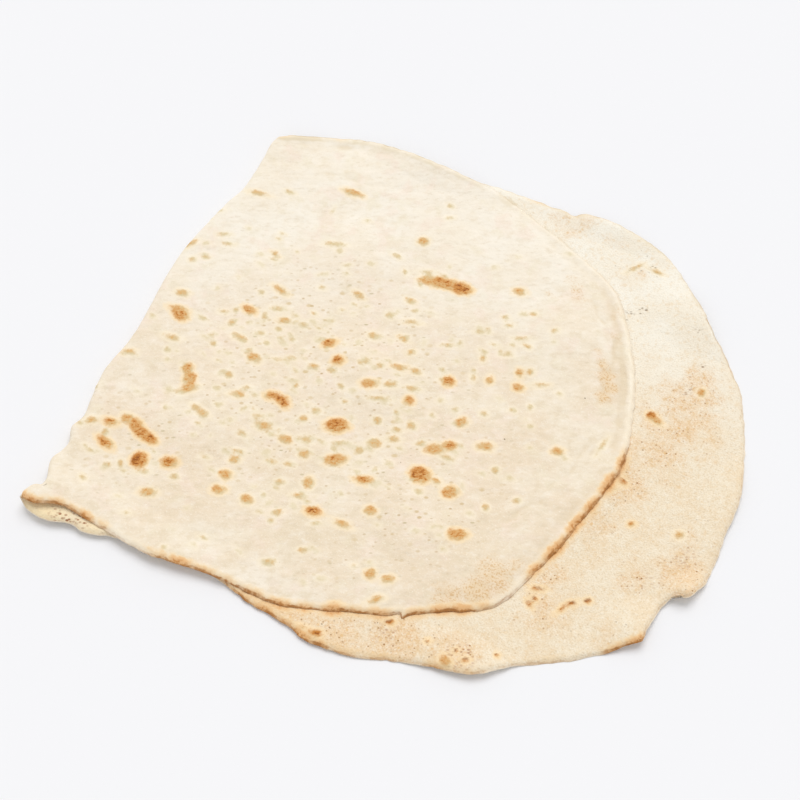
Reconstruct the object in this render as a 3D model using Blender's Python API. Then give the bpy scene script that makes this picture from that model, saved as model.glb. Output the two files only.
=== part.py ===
"""Folded lavash flatbread: one thin sheet of baked dough, folded over once and laid down flat.

The sheet is one closed body. Its outer face is drawn first, as a grid of rows that run along the
fold, from the loose edge of the upper flap, round the bend, to the loose edge of the lower flap.
The grid then gets its thickness inwards. Up is +Z, +Y runs along the fold and +X from the fold to
the loose edges. The origin is at the middle of the bread's footprint, on the table.
"""

import math

import bmesh
import bpy
import numpy as np

MM = 0.001

# Driving dimensions of the sheet
THICKNESS = 2.2 * MM
BEND_RADIUS = 4.1 * MM  # outside of the bend
LAYER_GAP = 0.6 * MM  # between the flaps, where they lie on each other
FOLD_RELAX = 28 * MM  # how far the upper flap takes to come down from the bend

# Rows and columns of the grid
ROWS_UPPER = 26
ROWS_BEND = 10
ROWS_LOWER = 30
COLUMNS = 30

# Outlines in millimetres, before the bread is centred: the fold starts at 0, 0 and runs along +Y.
FOLD_LINE = [(0, 0), (7, 12), (3, 37), (1, 60), (-4, 100), (-2, 132), (-8, 185), (-8, 212),
             (-3, 250), (1, 269), (-3, 305), (0, 322)]
UPPER_NEAR = [(0, 0), (12, -2), (30, 5), (60, 3), (95, 2), (130, 7), (165, 8), (198, 16),
              (236, 32), (265, 51), (292, 70)]
UPPER_LOOSE = [(292, 70), (305, 105), (313, 140), (321, 186), (316, 217), (298, 264), (268, 307)]
UPPER_AWAY = [(0, 322), (15, 326), (36, 338), (59, 346), (102, 349), (145, 346), (185, 337),
              (240, 325), (268, 307)]
LOWER_NEAR = [(0, 0), (10, -5), (22, -8), (36, -3), (50, -3), (66, 3), (95, 8), (130, 9),
              (160, 4), (190, 2), (205, -1), (235, 5), (262, 15), (300, 26), (317, 41),
              (350, 64), (378, 89)]
LOWER_LOOSE = [(378, 89), (378, 100), (382, 120), (394, 130), (398, 148), (396, 182), (394, 212),
               (377, 259), (361, 285), (335, 310)]
LOWER_AWAY = [(0, 322), (24, 332), (45, 342), (90, 346), (125, 346), (158, 353), (203, 356),
              (214, 355), (222, 360), (250, 361), (289, 351), (335, 310)]
# Front edge, loose edge, far edge, and whether the front corner is pointed
UPPER = (UPPER_NEAR, UPPER_LOOSE, UPPER_AWAY, False)
LOWER = (LOWER_NEAR, LOWER_LOOSE, LOWER_AWAY, True)

# Places where the bread lifts off the table: x, y, height, and its spread along X and along Y,
# in millimetres. Where their sum stays under TABLE_PRESS the bread lies flat on the table.
TABLE_PRESS = 1.2
LIFTS = [
    (8, -4, 6.0, 50, 30),  # the corner of the fold nearest the front
    (105, 4, 6.5, 55, 20),  # front edge, under the upper flap
    (205, 2, 3.5, 40, 18),
    (300, 26, 5.5, 45, 18),  # front edge of the lower flap
    (380, 92, 6.5, 26, 20),  # its corner
    (395, 131, 5.5, 14, 12),  # the small curl beside the corner
    (318, 170, 3.6, 12, 50),  # hump under the upper flap's loose edge
    (397, 200, 4.0, 20, 45),  # loose edge
    (330, 320, 6.0, 40, 24),  # rounded far corner
    (240, 362, 4.5, 50, 16),  # far edge
    (110, 350, 5.5, 60, 16),
    (0, 322, 4.0, 28, 28),  # the corner of the fold at the back
    (150, 175, 4.0, 42, 34),  # soft swells in the middle
    (70, 95, 3.6, 30, 36),
    (95, 255, 3.8, 36, 30),
    (245, 255, 3.4, 34, 36),
    (232, 95, 3.4, 40, 26),
]

CRUMB_COLOUR = (0.90, 0.78, 0.58, 1.0)
CRUMB_ROUGHNESS = 0.85


def clear_scene():
    for thing in list(bpy.data.objects):
        bpy.data.objects.remove(thing, do_unlink=True)


def curve_through(points, fractions, lead_in=None, lead_out=None):
    """Points at the given fractions of the length of a smooth curve through a list of points.

    lead_in and lead_out are the outline's next points beyond either end, where it goes on smoothly.
    """
    knots = np.array(points, dtype=float) * MM
    first = 2 * knots[0] - knots[1] if lead_in is None else np.array(lead_in) * MM
    last = 2 * knots[-1] - knots[-2] if lead_out is None else np.array(lead_out) * MM
    padded = np.vstack([first, knots, last])
    slopes = (padded[2:] - padded[:-2]) / 2
    run = []
    for start, end, leave, arrive in zip(knots[:-1], knots[1:], slopes[:-1], slopes[1:]):
        for step in np.linspace(0, 1, 24, endpoint=False):
            square, cube = step ** 2, step ** 3
            run.append((2 * cube - 3 * square + 1) * start + (3 * square - 2 * cube) * end
                       + (cube - 2 * square + step) * leave + (cube - square) * arrive)
    run = np.vstack([run, knots[-1]])
    lengths = np.concatenate([[0], np.cumsum(np.linalg.norm(np.diff(run, axis=0), axis=1))])
    wanted = np.asarray(fractions) * lengths[-1]
    return np.column_stack([np.interp(wanted, lengths, run[:, axis]) for axis in (0, 1)])


def flap(outline, depths):
    """Plan positions of one flap, for each depth from the fold and each column along it."""
    near, loose, away, pointed = outline
    along = np.linspace(0, 1, COLUMNS + 1)
    fold_side = curve_through(FOLD_LINE, along)
    loose_side = curve_through(loose, along, None if pointed else near[-2], away[-2])
    near_side = curve_through(near, depths, None, None if pointed else loose[1])
    away_side = curve_through(away, depths, None, loose[-2])
    depth = np.asarray(depths)[:, None, None]
    across = along[None, :, None]
    between_sides = (1 - depth) * fold_side[None] + depth * loose_side[None]
    between_ends = (1 - across) * near_side[:, None] + across * away_side[:, None]
    corners = ((1 - depth) * ((1 - across) * fold_side[0] + across * fold_side[-1])
               + depth * ((1 - across) * loose_side[0] + across * loose_side[-1]))
    return between_sides + between_ends - corners


def lift(x, y):
    """Height of the bread's underside above the table."""
    total = np.zeros_like(x)
    for centre_x, centre_y, height, spread_x, spread_y in LIFTS:
        away = ((x / MM - centre_x) / spread_x) ** 2 + ((y / MM - centre_y) / spread_y) ** 2
        total += height * np.exp(-away)
    return np.maximum(total - TABLE_PRESS, 0) * MM


def upper_face(plan, fold_side):
    """Heights of the upper flap's top face, which comes down from the bend onto the lower flap."""
    beyond = np.linalg.norm(plan - fold_side[None], axis=2) - BEND_RADIUS
    closing = np.exp(-(np.maximum(beyond, 0) / FOLD_RELAX) ** 2)
    lying = 2 * THICKNESS + LAYER_GAP
    return lift(plan[..., 0], plan[..., 1]) + lying + (2 * BEND_RADIUS - lying) * closing


def outer_face():
    """Positions on the sheet's outer face, row by row from the upper flap to the lower one."""
    fold_side = curve_through(FOLD_LINE, np.linspace(0, 1, COLUMNS + 1))
    reach = UPPER_LOOSE[2][0] * MM
    start = BEND_RADIUS / reach

    depths = np.linspace(1, start, ROWS_UPPER + 1)
    plan = flap(UPPER, depths)
    rows = [np.dstack([plan, upper_face(plan, fold_side)])]

    for turn in np.linspace(math.pi / 2, -math.pi / 2, ROWS_BEND + 1)[1:-1]:
        plan = flap(UPPER if turn > 0 else LOWER, [start * (1 - math.cos(turn))])
        height = lift(plan[..., 0], plan[..., 1]) + BEND_RADIUS * (1 + math.sin(turn))
        rows.append(np.dstack([plan, height]))

    depths = np.linspace(start, 1, ROWS_LOWER + 1)
    plan = flap(LOWER, depths)
    rows.append(np.dstack([plan, lift(plan[..., 0], plan[..., 1])]))
    return np.concatenate(rows)


def centred(mesh):
    """Move the mesh so that the middle of its footprint is at the origin."""
    places = np.array([vertex.co for vertex in mesh.verts])
    middle = (places.min(axis=0) + places.max(axis=0)) / 2
    bmesh.ops.translate(mesh, verts=mesh.verts, vec=(-middle[0], -middle[1], 0))


def lavash_sheet():
    places = outer_face()
    row_count = len(places) - 1
    mesh = bmesh.new()
    bmesh.ops.create_grid(mesh, x_segments=row_count, y_segments=COLUMNS, size=0.5)
    for vertex in mesh.verts:
        row = round((vertex.co.x + 0.5) * row_count)
        column = round((vertex.co.y + 0.5) * COLUMNS)
        vertex.co = places[row, column]
    mesh.normal_update()
    bmesh.ops.solidify(mesh, geom=mesh.faces[:], thickness=-THICKNESS)
    bmesh.ops.recalc_face_normals(mesh, faces=mesh.faces)
    centred(mesh)
    data = bpy.data.meshes.new("lavash_sheet")
    mesh.to_mesh(data)
    mesh.free()
    data.shade_smooth()
    data.set_sharp_from_angle(angle=math.radians(50))
    sheet = bpy.data.objects.new("lavash_sheet", data)
    bpy.context.collection.objects.link(sheet)
    return sheet


def crumb_material():
    material = bpy.data.materials.new("baked_dough")
    material.use_nodes = True
    shader = material.node_tree.nodes["Principled BSDF"]
    shader.inputs["Base Color"].default_value = CRUMB_COLOUR
    shader.inputs["Roughness"].default_value = CRUMB_ROUGHNESS
    shader.inputs["Metallic"].default_value = 0.0
    return material


clear_scene()
lavash_sheet().data.materials.append(crumb_material())
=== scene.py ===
# %% [markdown]
# # A folded lavash flatbread
#
# Lavash is a large, thin sheet of wheat dough, slapped on the wall of a very hot oven and baked in
# less than a minute. Bubbles in the dough touch the heat first and leave small golden scorch marks.
# This one is folded over once and laid down, so two faces of the same sheet show: the smooth,
# spotted outer face on the upper flap, and the sandy inner face on the larger lower flap.
#
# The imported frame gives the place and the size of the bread. Everything below is built around it.

# %% Load the frame
import math

import bmesh
import bpy
import numpy as np
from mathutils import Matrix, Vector, kdtree, noise


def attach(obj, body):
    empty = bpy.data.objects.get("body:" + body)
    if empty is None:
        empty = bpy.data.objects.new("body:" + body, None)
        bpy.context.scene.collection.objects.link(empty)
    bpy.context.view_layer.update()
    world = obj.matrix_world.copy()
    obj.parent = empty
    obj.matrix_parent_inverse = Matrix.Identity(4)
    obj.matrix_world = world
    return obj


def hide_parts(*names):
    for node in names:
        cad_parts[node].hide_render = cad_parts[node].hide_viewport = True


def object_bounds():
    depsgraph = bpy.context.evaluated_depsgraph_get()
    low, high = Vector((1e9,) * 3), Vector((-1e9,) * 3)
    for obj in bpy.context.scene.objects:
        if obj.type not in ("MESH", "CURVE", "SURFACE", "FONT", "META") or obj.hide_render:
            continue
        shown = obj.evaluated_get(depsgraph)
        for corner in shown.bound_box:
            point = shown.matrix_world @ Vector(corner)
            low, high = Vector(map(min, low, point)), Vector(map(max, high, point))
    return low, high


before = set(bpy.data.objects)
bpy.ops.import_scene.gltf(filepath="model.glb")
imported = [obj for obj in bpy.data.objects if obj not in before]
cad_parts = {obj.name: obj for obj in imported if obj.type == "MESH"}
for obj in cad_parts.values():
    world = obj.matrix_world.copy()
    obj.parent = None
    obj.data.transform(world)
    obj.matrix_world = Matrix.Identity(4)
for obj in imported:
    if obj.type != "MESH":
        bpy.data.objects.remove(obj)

NODE = "lavash_sheet"
cad_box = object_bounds()
print("CAD box, mm:", [round((high - low) * 1000, 1) for low, high in zip(*cad_box)])

# %% [markdown]
# ## The camera
#
# The view looks down on the bread at a steep angle, from its front corner. A camera is easiest to
# place by the point it looks at, its bearing round that point, its height above the table and its
# distance. A lens of 70 mm keeps the far side of the bread nearly as large as the near side.

# %% Camera
MM = 0.001
CM = 0.01
LOOK_AT = Vector((-1.97, -0.6, 0.0)) * CM
CAMERA_BEARING = math.radians(27.65)
CAMERA_ELEVATION = math.radians(60)
CAMERA_DISTANCE = 1.0036
CAMERA_LENS = 70
CAMERA_SENSOR = 36


def direction(bearing, elevation):
    """A unit vector towards a place in the room, from its bearing and its height in the sky."""
    level = math.cos(elevation)
    return Vector((math.sin(bearing) * level, -math.cos(bearing) * level, math.sin(elevation)))


def make_camera():
    data = bpy.data.cameras.new("camera")
    data.lens = CAMERA_LENS
    data.sensor_width = CAMERA_SENSOR
    camera = bpy.data.objects.new("camera", data)
    towards_camera = direction(CAMERA_BEARING, CAMERA_ELEVATION)
    camera.location = LOOK_AT + towards_camera * CAMERA_DISTANCE
    camera.rotation_euler = towards_camera.to_track_quat("Z", "Y").to_euler()
    bpy.context.collection.objects.link(camera)
    bpy.context.scene.camera = camera
    return camera


camera = make_camera()
print("camera at, cm:", [round(value / CM, 1) for value in camera.location])

# %% [markdown]
# ## Table and light
#
# Pale food on a pale table is lit from all sides, with a soft window light from behind, so that only
# thin, soft shadows lie in front of the bread. A white world gives the even light. The window is far
# away and wide, so a sun with a very wide angle stands for it, and lights the whole table the same.
# The plain Standard view keeps the creams light and clean, where a film-like view would grey them.

# %% Table and light
WORLD_LIGHT = 0.66
WINDOW_LIGHT = 1.44
WINDOW_BEARING = math.radians(195)
WINDOW_ELEVATION = math.radians(58)
WINDOW_WIDTH = math.radians(44)
TABLE_SIZE = 8.0
TABLE_COLOUR = (242, 242, 244)
TABLE_ROUGHNESS, TABLE_SHEEN = 0.9, 0.1


def shade(red, green, blue):
    """A colour from its 0 to 255 display values, as the linear values that shaders use."""
    linear = [((value / 255 + 0.055) / 1.055) ** 2.4 for value in (red, green, blue)]
    return (*linear, 1.0)


def make_table():
    mesh = bmesh.new()
    bmesh.ops.create_grid(mesh, x_segments=1, y_segments=1, size=TABLE_SIZE / 2)
    data = bpy.data.meshes.new("table")
    mesh.to_mesh(data)
    mesh.free()
    table = bpy.data.objects.new("table", data)
    bpy.context.collection.objects.link(table)
    paint = bpy.data.materials.new("table_white")
    paint.use_nodes = True
    shader = paint.node_tree.nodes["Principled BSDF"]
    shader.inputs["Base Color"].default_value = shade(*TABLE_COLOUR)
    shader.inputs["Roughness"].default_value = TABLE_ROUGHNESS
    shader.inputs["Specular IOR Level"].default_value = TABLE_SHEEN
    data.materials.append(paint)


def make_light():
    world = bpy.data.worlds.new("studio")
    world.use_nodes = True
    backdrop = world.node_tree.nodes["Background"]
    backdrop.inputs["Color"].default_value = (1.0, 1.0, 1.0, 1.0)
    backdrop.inputs["Strength"].default_value = WORLD_LIGHT
    bpy.context.scene.world = world
    data = bpy.data.lights.new("window", "SUN")
    data.energy = WINDOW_LIGHT
    data.angle = WINDOW_WIDTH
    window = bpy.data.objects.new("window", data)
    towards_window = direction(WINDOW_BEARING, WINDOW_ELEVATION)
    window.location = LOOK_AT + towards_window
    window.rotation_euler = towards_window.to_track_quat("Z", "Y").to_euler()
    bpy.context.collection.objects.link(window)
    bpy.context.scene.view_settings.view_transform = "Standard"


make_table()
make_light()
print("table and light made")

# %% [markdown]
# ## The outline of the sheet
#
# The bread is described in plan first, in millimetres: the fold runs along Y, and each flap has a
# near edge, a loose edge and an edge away from it. A few points on each edge are enough, because a
# smooth curve goes through them. The near corner of the lower flap is pointed, the others are round.

# %% Outline
FOLD_LINE = [
    (1.5, -3), (2.0, 2), (4.6, 7.4), (8.6, 9.6), (8.8, 14.5), (6.2, 20), (3.2, 26), (2.6, 31),
    (4.4, 36), (5.6, 42), (4.2, 47), (1.8, 51), (0.6, 55), (2.2, 60), (2.8, 66), (0, 78), (-4, 100),
    (-2, 132), (-8, 185), (-8, 212), (-3, 250), (1, 269), (0, 296), (-1, 312), (3, 319),
]
UPPER_NEAR = [
    (1.5, -3), (12, -3), (30, 5), (60, 3), (95, 2), (130, 8), (150, 9.5), (172, 9.5), (190, 15.5),
    (206, 22.5), (236, 35), (243.5, 40), (246.5, 38), (250, 42), (266, 53), (292, 70),
]
UPPER_LOOSE = [(292, 70), (305, 105), (313, 140), (321, 186), (316, 217), (298, 264), (268, 307)]
UPPER_AWAY = [
    (3, 319), (15, 326), (36, 338), (59, 346), (102, 349), (145, 348), (160, 347), (180, 342.5),
    (201, 336), (222, 329), (240, 322), (268, 307),
]
LOWER_NEAR = [
    (1.5, -3), (10, -7), (22, -8), (36, -3), (50, -3), (66, 3), (95, 8), (130, 9), (160, 4), (190, 2),
    (205, -1), (235, 5), (262, 15), (300, 26), (317, 41), (350, 64), (378, 89),
]
LOWER_LOOSE = [
    (378, 89), (378, 100), (381, 118), (386, 126.5), (390, 126), (394, 131), (398, 148), (396, 182),
    (394, 212), (377, 259), (361, 285), (335, 310),
]
LOWER_AWAY = [
    (3, 319), (24, 332), (45, 342), (90, 346), (125, 346), (158, 353), (203, 356), (214, 355),
    (222, 360), (250, 361), (289, 351), (335, 310),
]
POINTED = True
UPPER = (UPPER_NEAR, UPPER_LOOSE, UPPER_AWAY, not POINTED)
LOWER = (LOWER_NEAR, LOWER_LOOSE, LOWER_AWAY, POINTED)
CURVE_STEPS = 24


def curve_through(points, fractions, lead_in=None, lead_out=None):
    """Points at the given fractions of the length of a smooth curve through a list of points."""
    knots = np.array(points, dtype=float) * MM
    first = 2 * knots[0] - knots[1] if lead_in is None else np.array(lead_in) * MM
    last = 2 * knots[-1] - knots[-2] if lead_out is None else np.array(lead_out) * MM
    padded = np.vstack([first, knots, last])
    slopes = (padded[2:] - padded[:-2]) / 2
    run = []
    for start, end, leave, arrive in zip(knots[:-1], knots[1:], slopes[:-1], slopes[1:]):
        for step in np.linspace(0, 1, CURVE_STEPS, endpoint=False):
            square, cube = step ** 2, step ** 3
            run.append((2 * cube - 3 * square + 1) * start + (3 * square - 2 * cube) * end
                       + (cube - 2 * square + step) * leave + (cube - square) * arrive)
    run = np.vstack([run, knots[-1]])
    lengths = np.concatenate([[0], np.cumsum(np.linalg.norm(np.diff(run, axis=0), axis=1))])
    wanted = np.asarray(fractions) * lengths[-1]
    return np.column_stack([np.interp(wanted, lengths, run[:, axis]) for axis in (0, 1)])


print("outline points:", sum(len(side) for side in (FOLD_LINE, *UPPER[:3], *LOWER[:3])))

# %% [markdown]
# ## A ragged edge
#
# Torn and stretched dough never has a clean edge. A little smooth noise, taken at each point of the
# outline, moves it by a millimetre or less. It fades out near the fold, where there is no edge. A
# fixed seed makes this noise the same each time that the script runs.

# %% Ragged edge
RAGGED_DEPTH = 0.8 * MM
RAGGED_WAVES = ((1.0, 17 * MM), (0.8, 5 * MM))
RAGGED_FADE = 14 * MM
RAGGED_SEED = 3
noise.seed_set(RAGGED_SEED)


def ragged(curve, seed, freedom):
    """The curve with its points moved a little by waves of two sizes, where it has freedom."""
    moved = curve.copy()
    for share, size in RAGGED_WAVES:
        for point, target, free in zip(curve, moved, freedom):
            wander = noise.noise_vector((point[0] / size, point[1] / size, seed))
            target += np.array(wander[:2]) * RAGGED_DEPTH * share * free
    return moved


print("sizes of the ragged waves, mm:", [round(size / MM) for share, size in RAGGED_WAVES])

# %% [markdown]
# ## The two flaps in plan
#
# A grid of points fills each flap, one line of points for each distance from the fold. Blending the
# four edges gives a first grid, and it still carries every wiggle of the edges far inwards. Moving
# each inner point to the middle of its neighbours, hundreds of times, smooths that away. The grid is
# made fine at once: each of its cells is four points wide and four points long.

# %% Flaps in plan
CELLS_UPPER = 57
CELLS_BEND = 3
CELLS_LOWER = 70
CELLS_ACROSS = 61
FINE = 4
COLUMNS = CELLS_ACROSS * FINE
BEND_RADIUS = 4.1 * MM
RELAX_ROUNDS = 800
middle_of_loose_side = UPPER_LOOSE[2][0] * MM
bend_share = BEND_RADIUS / middle_of_loose_side
along = np.linspace(0, 1, COLUMNS + 1)
fold_side = curve_through(FOLD_LINE, along)


def relax(grid):
    for _ in range(RELAX_ROUNDS):
        grid[1:-1, 1:-1] = (grid[:-2, 1:-1] + grid[2:, 1:-1] + grid[1:-1, :-2] + grid[1:-1, 2:]) / 4
    return grid


def flap(outline, depths, seed):
    """Plan positions of one flap, for each share of its depth and each column along the fold."""
    near, loose, away, pointed = outline
    depths = np.asarray(depths)
    loose_side = curve_through(loose, along, None if pointed else near[-2], away[-2])
    near_side = curve_through(near, depths, None, None if pointed else loose[1])
    away_side = curve_through(away, depths, None, loose[-2])
    from_fold_end = np.linalg.norm(near_side - fold_side[0], axis=1)
    freedom = np.clip(from_fold_end / RAGGED_FADE, 0, 1)
    near_side = ragged(near_side, seed, freedom)
    away_side = ragged(away_side, seed, freedom)
    loose_side = ragged(loose_side, seed, np.ones(len(loose_side)))
    depth = depths[:, None, None]
    across = along[None, :, None]
    between_sides = (1 - depth) * fold_side[None] + depth * loose_side[None]
    between_ends = (1 - across) * near_side[:, None] + across * away_side[:, None]
    corners = ((1 - depth) * ((1 - across) * fold_side[0] + across * fold_side[-1])
               + depth * ((1 - across) * loose_side[0] + across * loose_side[-1]))
    return between_sides + between_ends - corners


upper_plan = relax(flap(UPPER, np.linspace(1, bend_share, CELLS_UPPER * FINE + 1), 1))
lower_plan = relax(flap(LOWER, np.linspace(bend_share, 1, CELLS_LOWER * FINE + 1), 2))
print("upper flap grid:", upper_plan.shape[:2], "lower flap grid:", lower_plan.shape[:2])

# %% [markdown]
# ## How the bread lies
#
# Baked lavash is limp but not flat. It keeps soft swells from the oven, and its edges lift a little
# where they dried. Each lift is a smooth bump, in millimetres: its place, its height and its spread
# along X and Y. Where they add up to almost nothing, the sheet's own weight presses it flat.

# %% Lifts
TABLE_PRESS = 1.2
LIFTS = [
    (8, -4, 6.0, 50, 30), (105, 4, 4.8, 52, 20), (205, 2, 2.8, 40, 18), (300, 26, 5.5, 45, 18),
    (380, 92, 6.5, 26, 20), (395, 131, 5.5, 14, 12), (318, 170, 3.6, 12, 50), (397, 200, 4.0, 20, 45),
    (388, 125, 3.5, 9, 9), (330, 320, 6.0, 40, 24), (240, 362, 4.5, 50, 16), (110, 350, 5.5, 60, 16),
    (0, 322, 3.2, 28, 28), (150, 175, 4.0, 42, 34), (70, 95, 3.6, 30, 36), (95, 255, 3.8, 36, 30),
    (245, 255, 3.4, 34, 36), (232, 95, 3.4, 40, 26),
]


def lift(plan):
    """Height of the bread's underside above the table."""
    x, y = plan[..., 0] / MM, plan[..., 1] / MM
    total = np.zeros_like(x)
    for centre_x, centre_y, height, spread_x, spread_y in LIFTS:
        away = ((x - centre_x) / spread_x) ** 2 + ((y - centre_y) / spread_y) ** 2
        total += height * np.exp(-away)
    return np.maximum(total - TABLE_PRESS, 0) * MM


print("highest lift, mm:", round(lift(lower_plan).max() / MM, 1))

# %% [markdown]
# ## Swells of the upper flap
#
# The upper flap lies on the lower one, so nothing presses it flat. Noise at two sizes gives it
# shallow swells. What would be a hollow is cut off, so the flap never sinks into the one below.

# %% Swells
SWELLS = ((1.5, 52), (0.5, 19))
SWELL_SURPLUS = 0.25
SEED_SPACING = 7.3


def noise_over(points, size, seed):
    """Smooth noise between about -1 and 1 at each point of an array, for features of one size."""
    flat_points = points.reshape(-1, points.shape[-1])
    depth = flat_points[:, 2] / size if points.shape[-1] > 2 else np.zeros(len(flat_points))
    values = [noise.noise((x / size, y / size, z + seed * SEED_SPACING))
              for x, y, z in zip(flat_points[:, 0], flat_points[:, 1], depth)]
    return np.array(values).reshape(points.shape[:-1])


def swell(plan):
    total = np.zeros(plan.shape[:-1])
    for seed, (height, size) in enumerate(SWELLS):
        surplus = noise_over(plan, size * MM, seed + 1) + SWELL_SURPLUS
        total += np.maximum(surplus, 0) * height * MM
    return total


print("highest swell, mm:", round(swell(upper_plan).max() / MM, 1))

# %% [markdown]
# ## Finding the rim
#
# The rim of a flap is a string of points, and a k-d tree finds the nearest of them quickly.

# %% Rim finder
def rim_points(plan, loose_row):
    """The free edge of one flap: its near side, its loose side and its away side."""
    return np.concatenate([plan[:, 0], plan[loose_row], plan[:, -1]])


def distance_to(points, targets):
    """Distance from each point to the nearest target, in plan."""
    tree = kdtree.KDTree(len(targets))
    for index, (x, y) in enumerate(targets):
        tree.insert((x, y, 0), index)
    tree.balance()
    return np.array([tree.find((x, y, 0))[2] for x, y in points.reshape(-1, 2)])


print("the upper flap's rim has", len(rim_points(upper_plan, 0)), "points")

# %% [markdown]
# ## The folded sheet
#
# The outer face runs down the upper flap, round the bend and out along the lower flap. Near the bend
# the upper flap comes down over a few centimetres, as springy dough does, until it lies on the lower
# one. Its thin rim is limp, so there it lies closest. All rows together make one array, with a
# position for each row and column. At the end it is moved to the middle of the CAD box.

# %% Outer face
THICKNESS = 2.2 * MM
LAYER_GAP = 0.6 * MM
RIM_GAP = 0.15 * MM
LIMP_RIM = 11 * MM
FOLD_RELAX = 28 * MM


def from_fold(plan):
    return np.linalg.norm(plan - fold_side[None], axis=2)


def upper_height(plan):
    beyond = np.maximum(from_fold(plan) - BEND_RADIUS, 0)
    from_rim = distance_to(plan, rim_points(plan, 0)).reshape(plan.shape[:2])
    limp = np.exp(-(from_rim / LIMP_RIM) ** 2)
    lying = 2 * THICKNESS + LAYER_GAP + (RIM_GAP - LAYER_GAP) * limp
    closing = np.exp(-(beyond / FOLD_RELAX) ** 2)
    swelling = swell(plan) * (1 - closing) * (1 - limp)
    return lift(plan) + lying + (2 * BEND_RADIUS - lying) * closing + swelling


def bend_rows():
    rows = []
    turns = np.linspace(math.pi / 2, -math.pi / 2, CELLS_BEND * FINE + 1)[1:-1]
    upper_line, lower_line = upper_plan[-1], lower_plan[0]
    for turn in turns:
        reach = 1 - math.cos(turn)
        plan = fold_side + ((upper_line if turn > 0 else lower_line) - fold_side) * reach
        height = lift(plan[None])[0] + BEND_RADIUS * (1 + math.sin(turn))
        rows.append(np.column_stack([plan, height]))
    return np.array(rows)


outer = np.concatenate([np.dstack([upper_plan, upper_height(upper_plan)]), bend_rows(),
                        np.dstack([lower_plan, lift(lower_plan)])])
last_upper_row = len(upper_plan) - 1
first_lower_row = len(outer) - len(lower_plan)
footprint = outer[..., :2].reshape(-1, 2)
cad_middle = (np.array(cad_box[0][:2]) + np.array(cad_box[1][:2])) / 2
outer[..., :2] += cad_middle - (footprint.min(axis=0) + footprint.max(axis=0)) / 2
print("outer face, mm:", np.round(np.ptp(outer.reshape(-1, 3), axis=0) / MM, 1))

# %% [markdown]
# ## Which way is out
#
# The thickness goes inwards from the outer face, along its normals. They come from the cross product
# of the two grid directions, smoothed a little so that they stay steady in tight corners. At the rim
# a second set of directions points out of the sheet, in its own plane.

# %% Normals and rim directions
NORMAL_ROUNDS = 6
SHORTEST = 1e-12


def unit(vectors):
    return vectors / np.maximum(np.linalg.norm(vectors, axis=-1, keepdims=True), SHORTEST)


def face_normals(grid):
    normals = np.cross(np.gradient(grid, axis=1), np.gradient(grid, axis=0))
    for _ in range(NORMAL_ROUNDS):
        padded = np.pad(normals, ((1, 1), (1, 1), (0, 0)), mode="edge")
        normals = (padded[:-2, 1:-1] + padded[2:, 1:-1] + padded[1:-1, :-2] + padded[1:-1, 2:]
                   + 4 * normals) / 8
    return unit(normals)


def rim_directions(grid, normals):
    """Unit vectors out of the sheet along its rim, and zero everywhere else."""
    outwards = np.zeros_like(grid)
    down_rows, along_columns = np.gradient(grid, axis=0), np.gradient(grid, axis=1)
    for index, sign in ((0, -1), (-1, 1)):
        outwards[:, index] += sign * unit(np.cross(down_rows[:, index], normals[:, index]))
        outwards[index] -= sign * unit(np.cross(along_columns[index], normals[index]))
    return unit(outwards)


outer_normals = face_normals(outer)
lower_normals = outer_normals[first_lower_row:]
lower_normals *= -np.sign(lower_normals[..., 2:])
rim_out = rim_directions(outer, outer_normals)
print("middle normal of the upper flap:", np.round(outer_normals[len(upper_plan) // 2, COLUMNS // 2], 2),
      "and of the lower flap:", np.round(lower_normals[len(lower_plan) // 2, COLUMNS // 2], 2))

# %% [markdown]
# ## Distance to the rim
#
# Browning, rolls and tears all follow the rim, so each point needs its distance to it.

# %% Distance to the rim
upper_part = outer[:first_lower_row, :, :2]
lower_part = outer[first_lower_row:, :, :2]
upper_rim, lower_rim = rim_points(upper_part, 0), rim_points(lower_part, -1)
rim_distance = np.concatenate([distance_to(upper_part, upper_rim), distance_to(lower_part, lower_rim)])
rim_distance = rim_distance.reshape(outer.shape[:2])
print("deepest point, mm from the rim:", round(rim_distance.max() / MM, 1))

# %% [markdown]
# ## Where the surface has to be fine
#
# Small marks need a fine mesh, and faces that lie hidden between the flaps or on the table don't. So
# the mesh starts coarse, and only the cells that can be seen are cut in four each way. On the lower
# flap those are the cells outside the upper flap's outline, and a margin inside it.

# %% Which cells of the lower flap show
SHOWN_MARGIN = 7 * MM


def inside(points, polygon):
    """Whether each point lies inside a closed polygon, by counting the edges to its right."""
    start, end = polygon, np.roll(polygon, -1, axis=0)
    crossings = np.zeros(len(points), dtype=int)
    for (start_x, start_y), (end_x, end_y) in zip(start, end):
        if start_y != end_y:
            spans = (points[:, 1] < start_y) != (points[:, 1] < end_y)
            at_x = start_x + (points[:, 1] - start_y) * (end_x - start_x) / (end_y - start_y)
            crossings += spans & (points[:, 0] < at_x)
    return crossings % 2 == 1


half = FINE // 2
cell_middles = lower_part[half::FINE, half::FINE].reshape(-1, 2)
outline_of_upper = np.concatenate([upper_part[::-1, 0], upper_part[0], upper_part[:, -1]])
hidden = inside(cell_middles, outline_of_upper) & (distance_to(cell_middles, upper_rim) > SHOWN_MARGIN)
shown_cells = ~hidden.reshape(CELLS_LOWER, CELLS_ACROSS)
print("cells of the lower flap that show:", round(shown_cells.mean() * 100), "%")

# %% [markdown]
# ## The sheet as one closed mesh
#
# `create_grid` makes the coarse grid and `solidify` its second face and its rim, while everything is
# still flat. `subdivide_edges` then cuts the cells that show, and the rim into three strips. In this
# flat state X counts rows, Y counts columns and Z counts depth through the dough.

# %% Topology of the sheet
RIM_CUTS = 2
CELL_ROWS = CELLS_UPPER + CELLS_BEND + CELLS_LOWER


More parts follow.
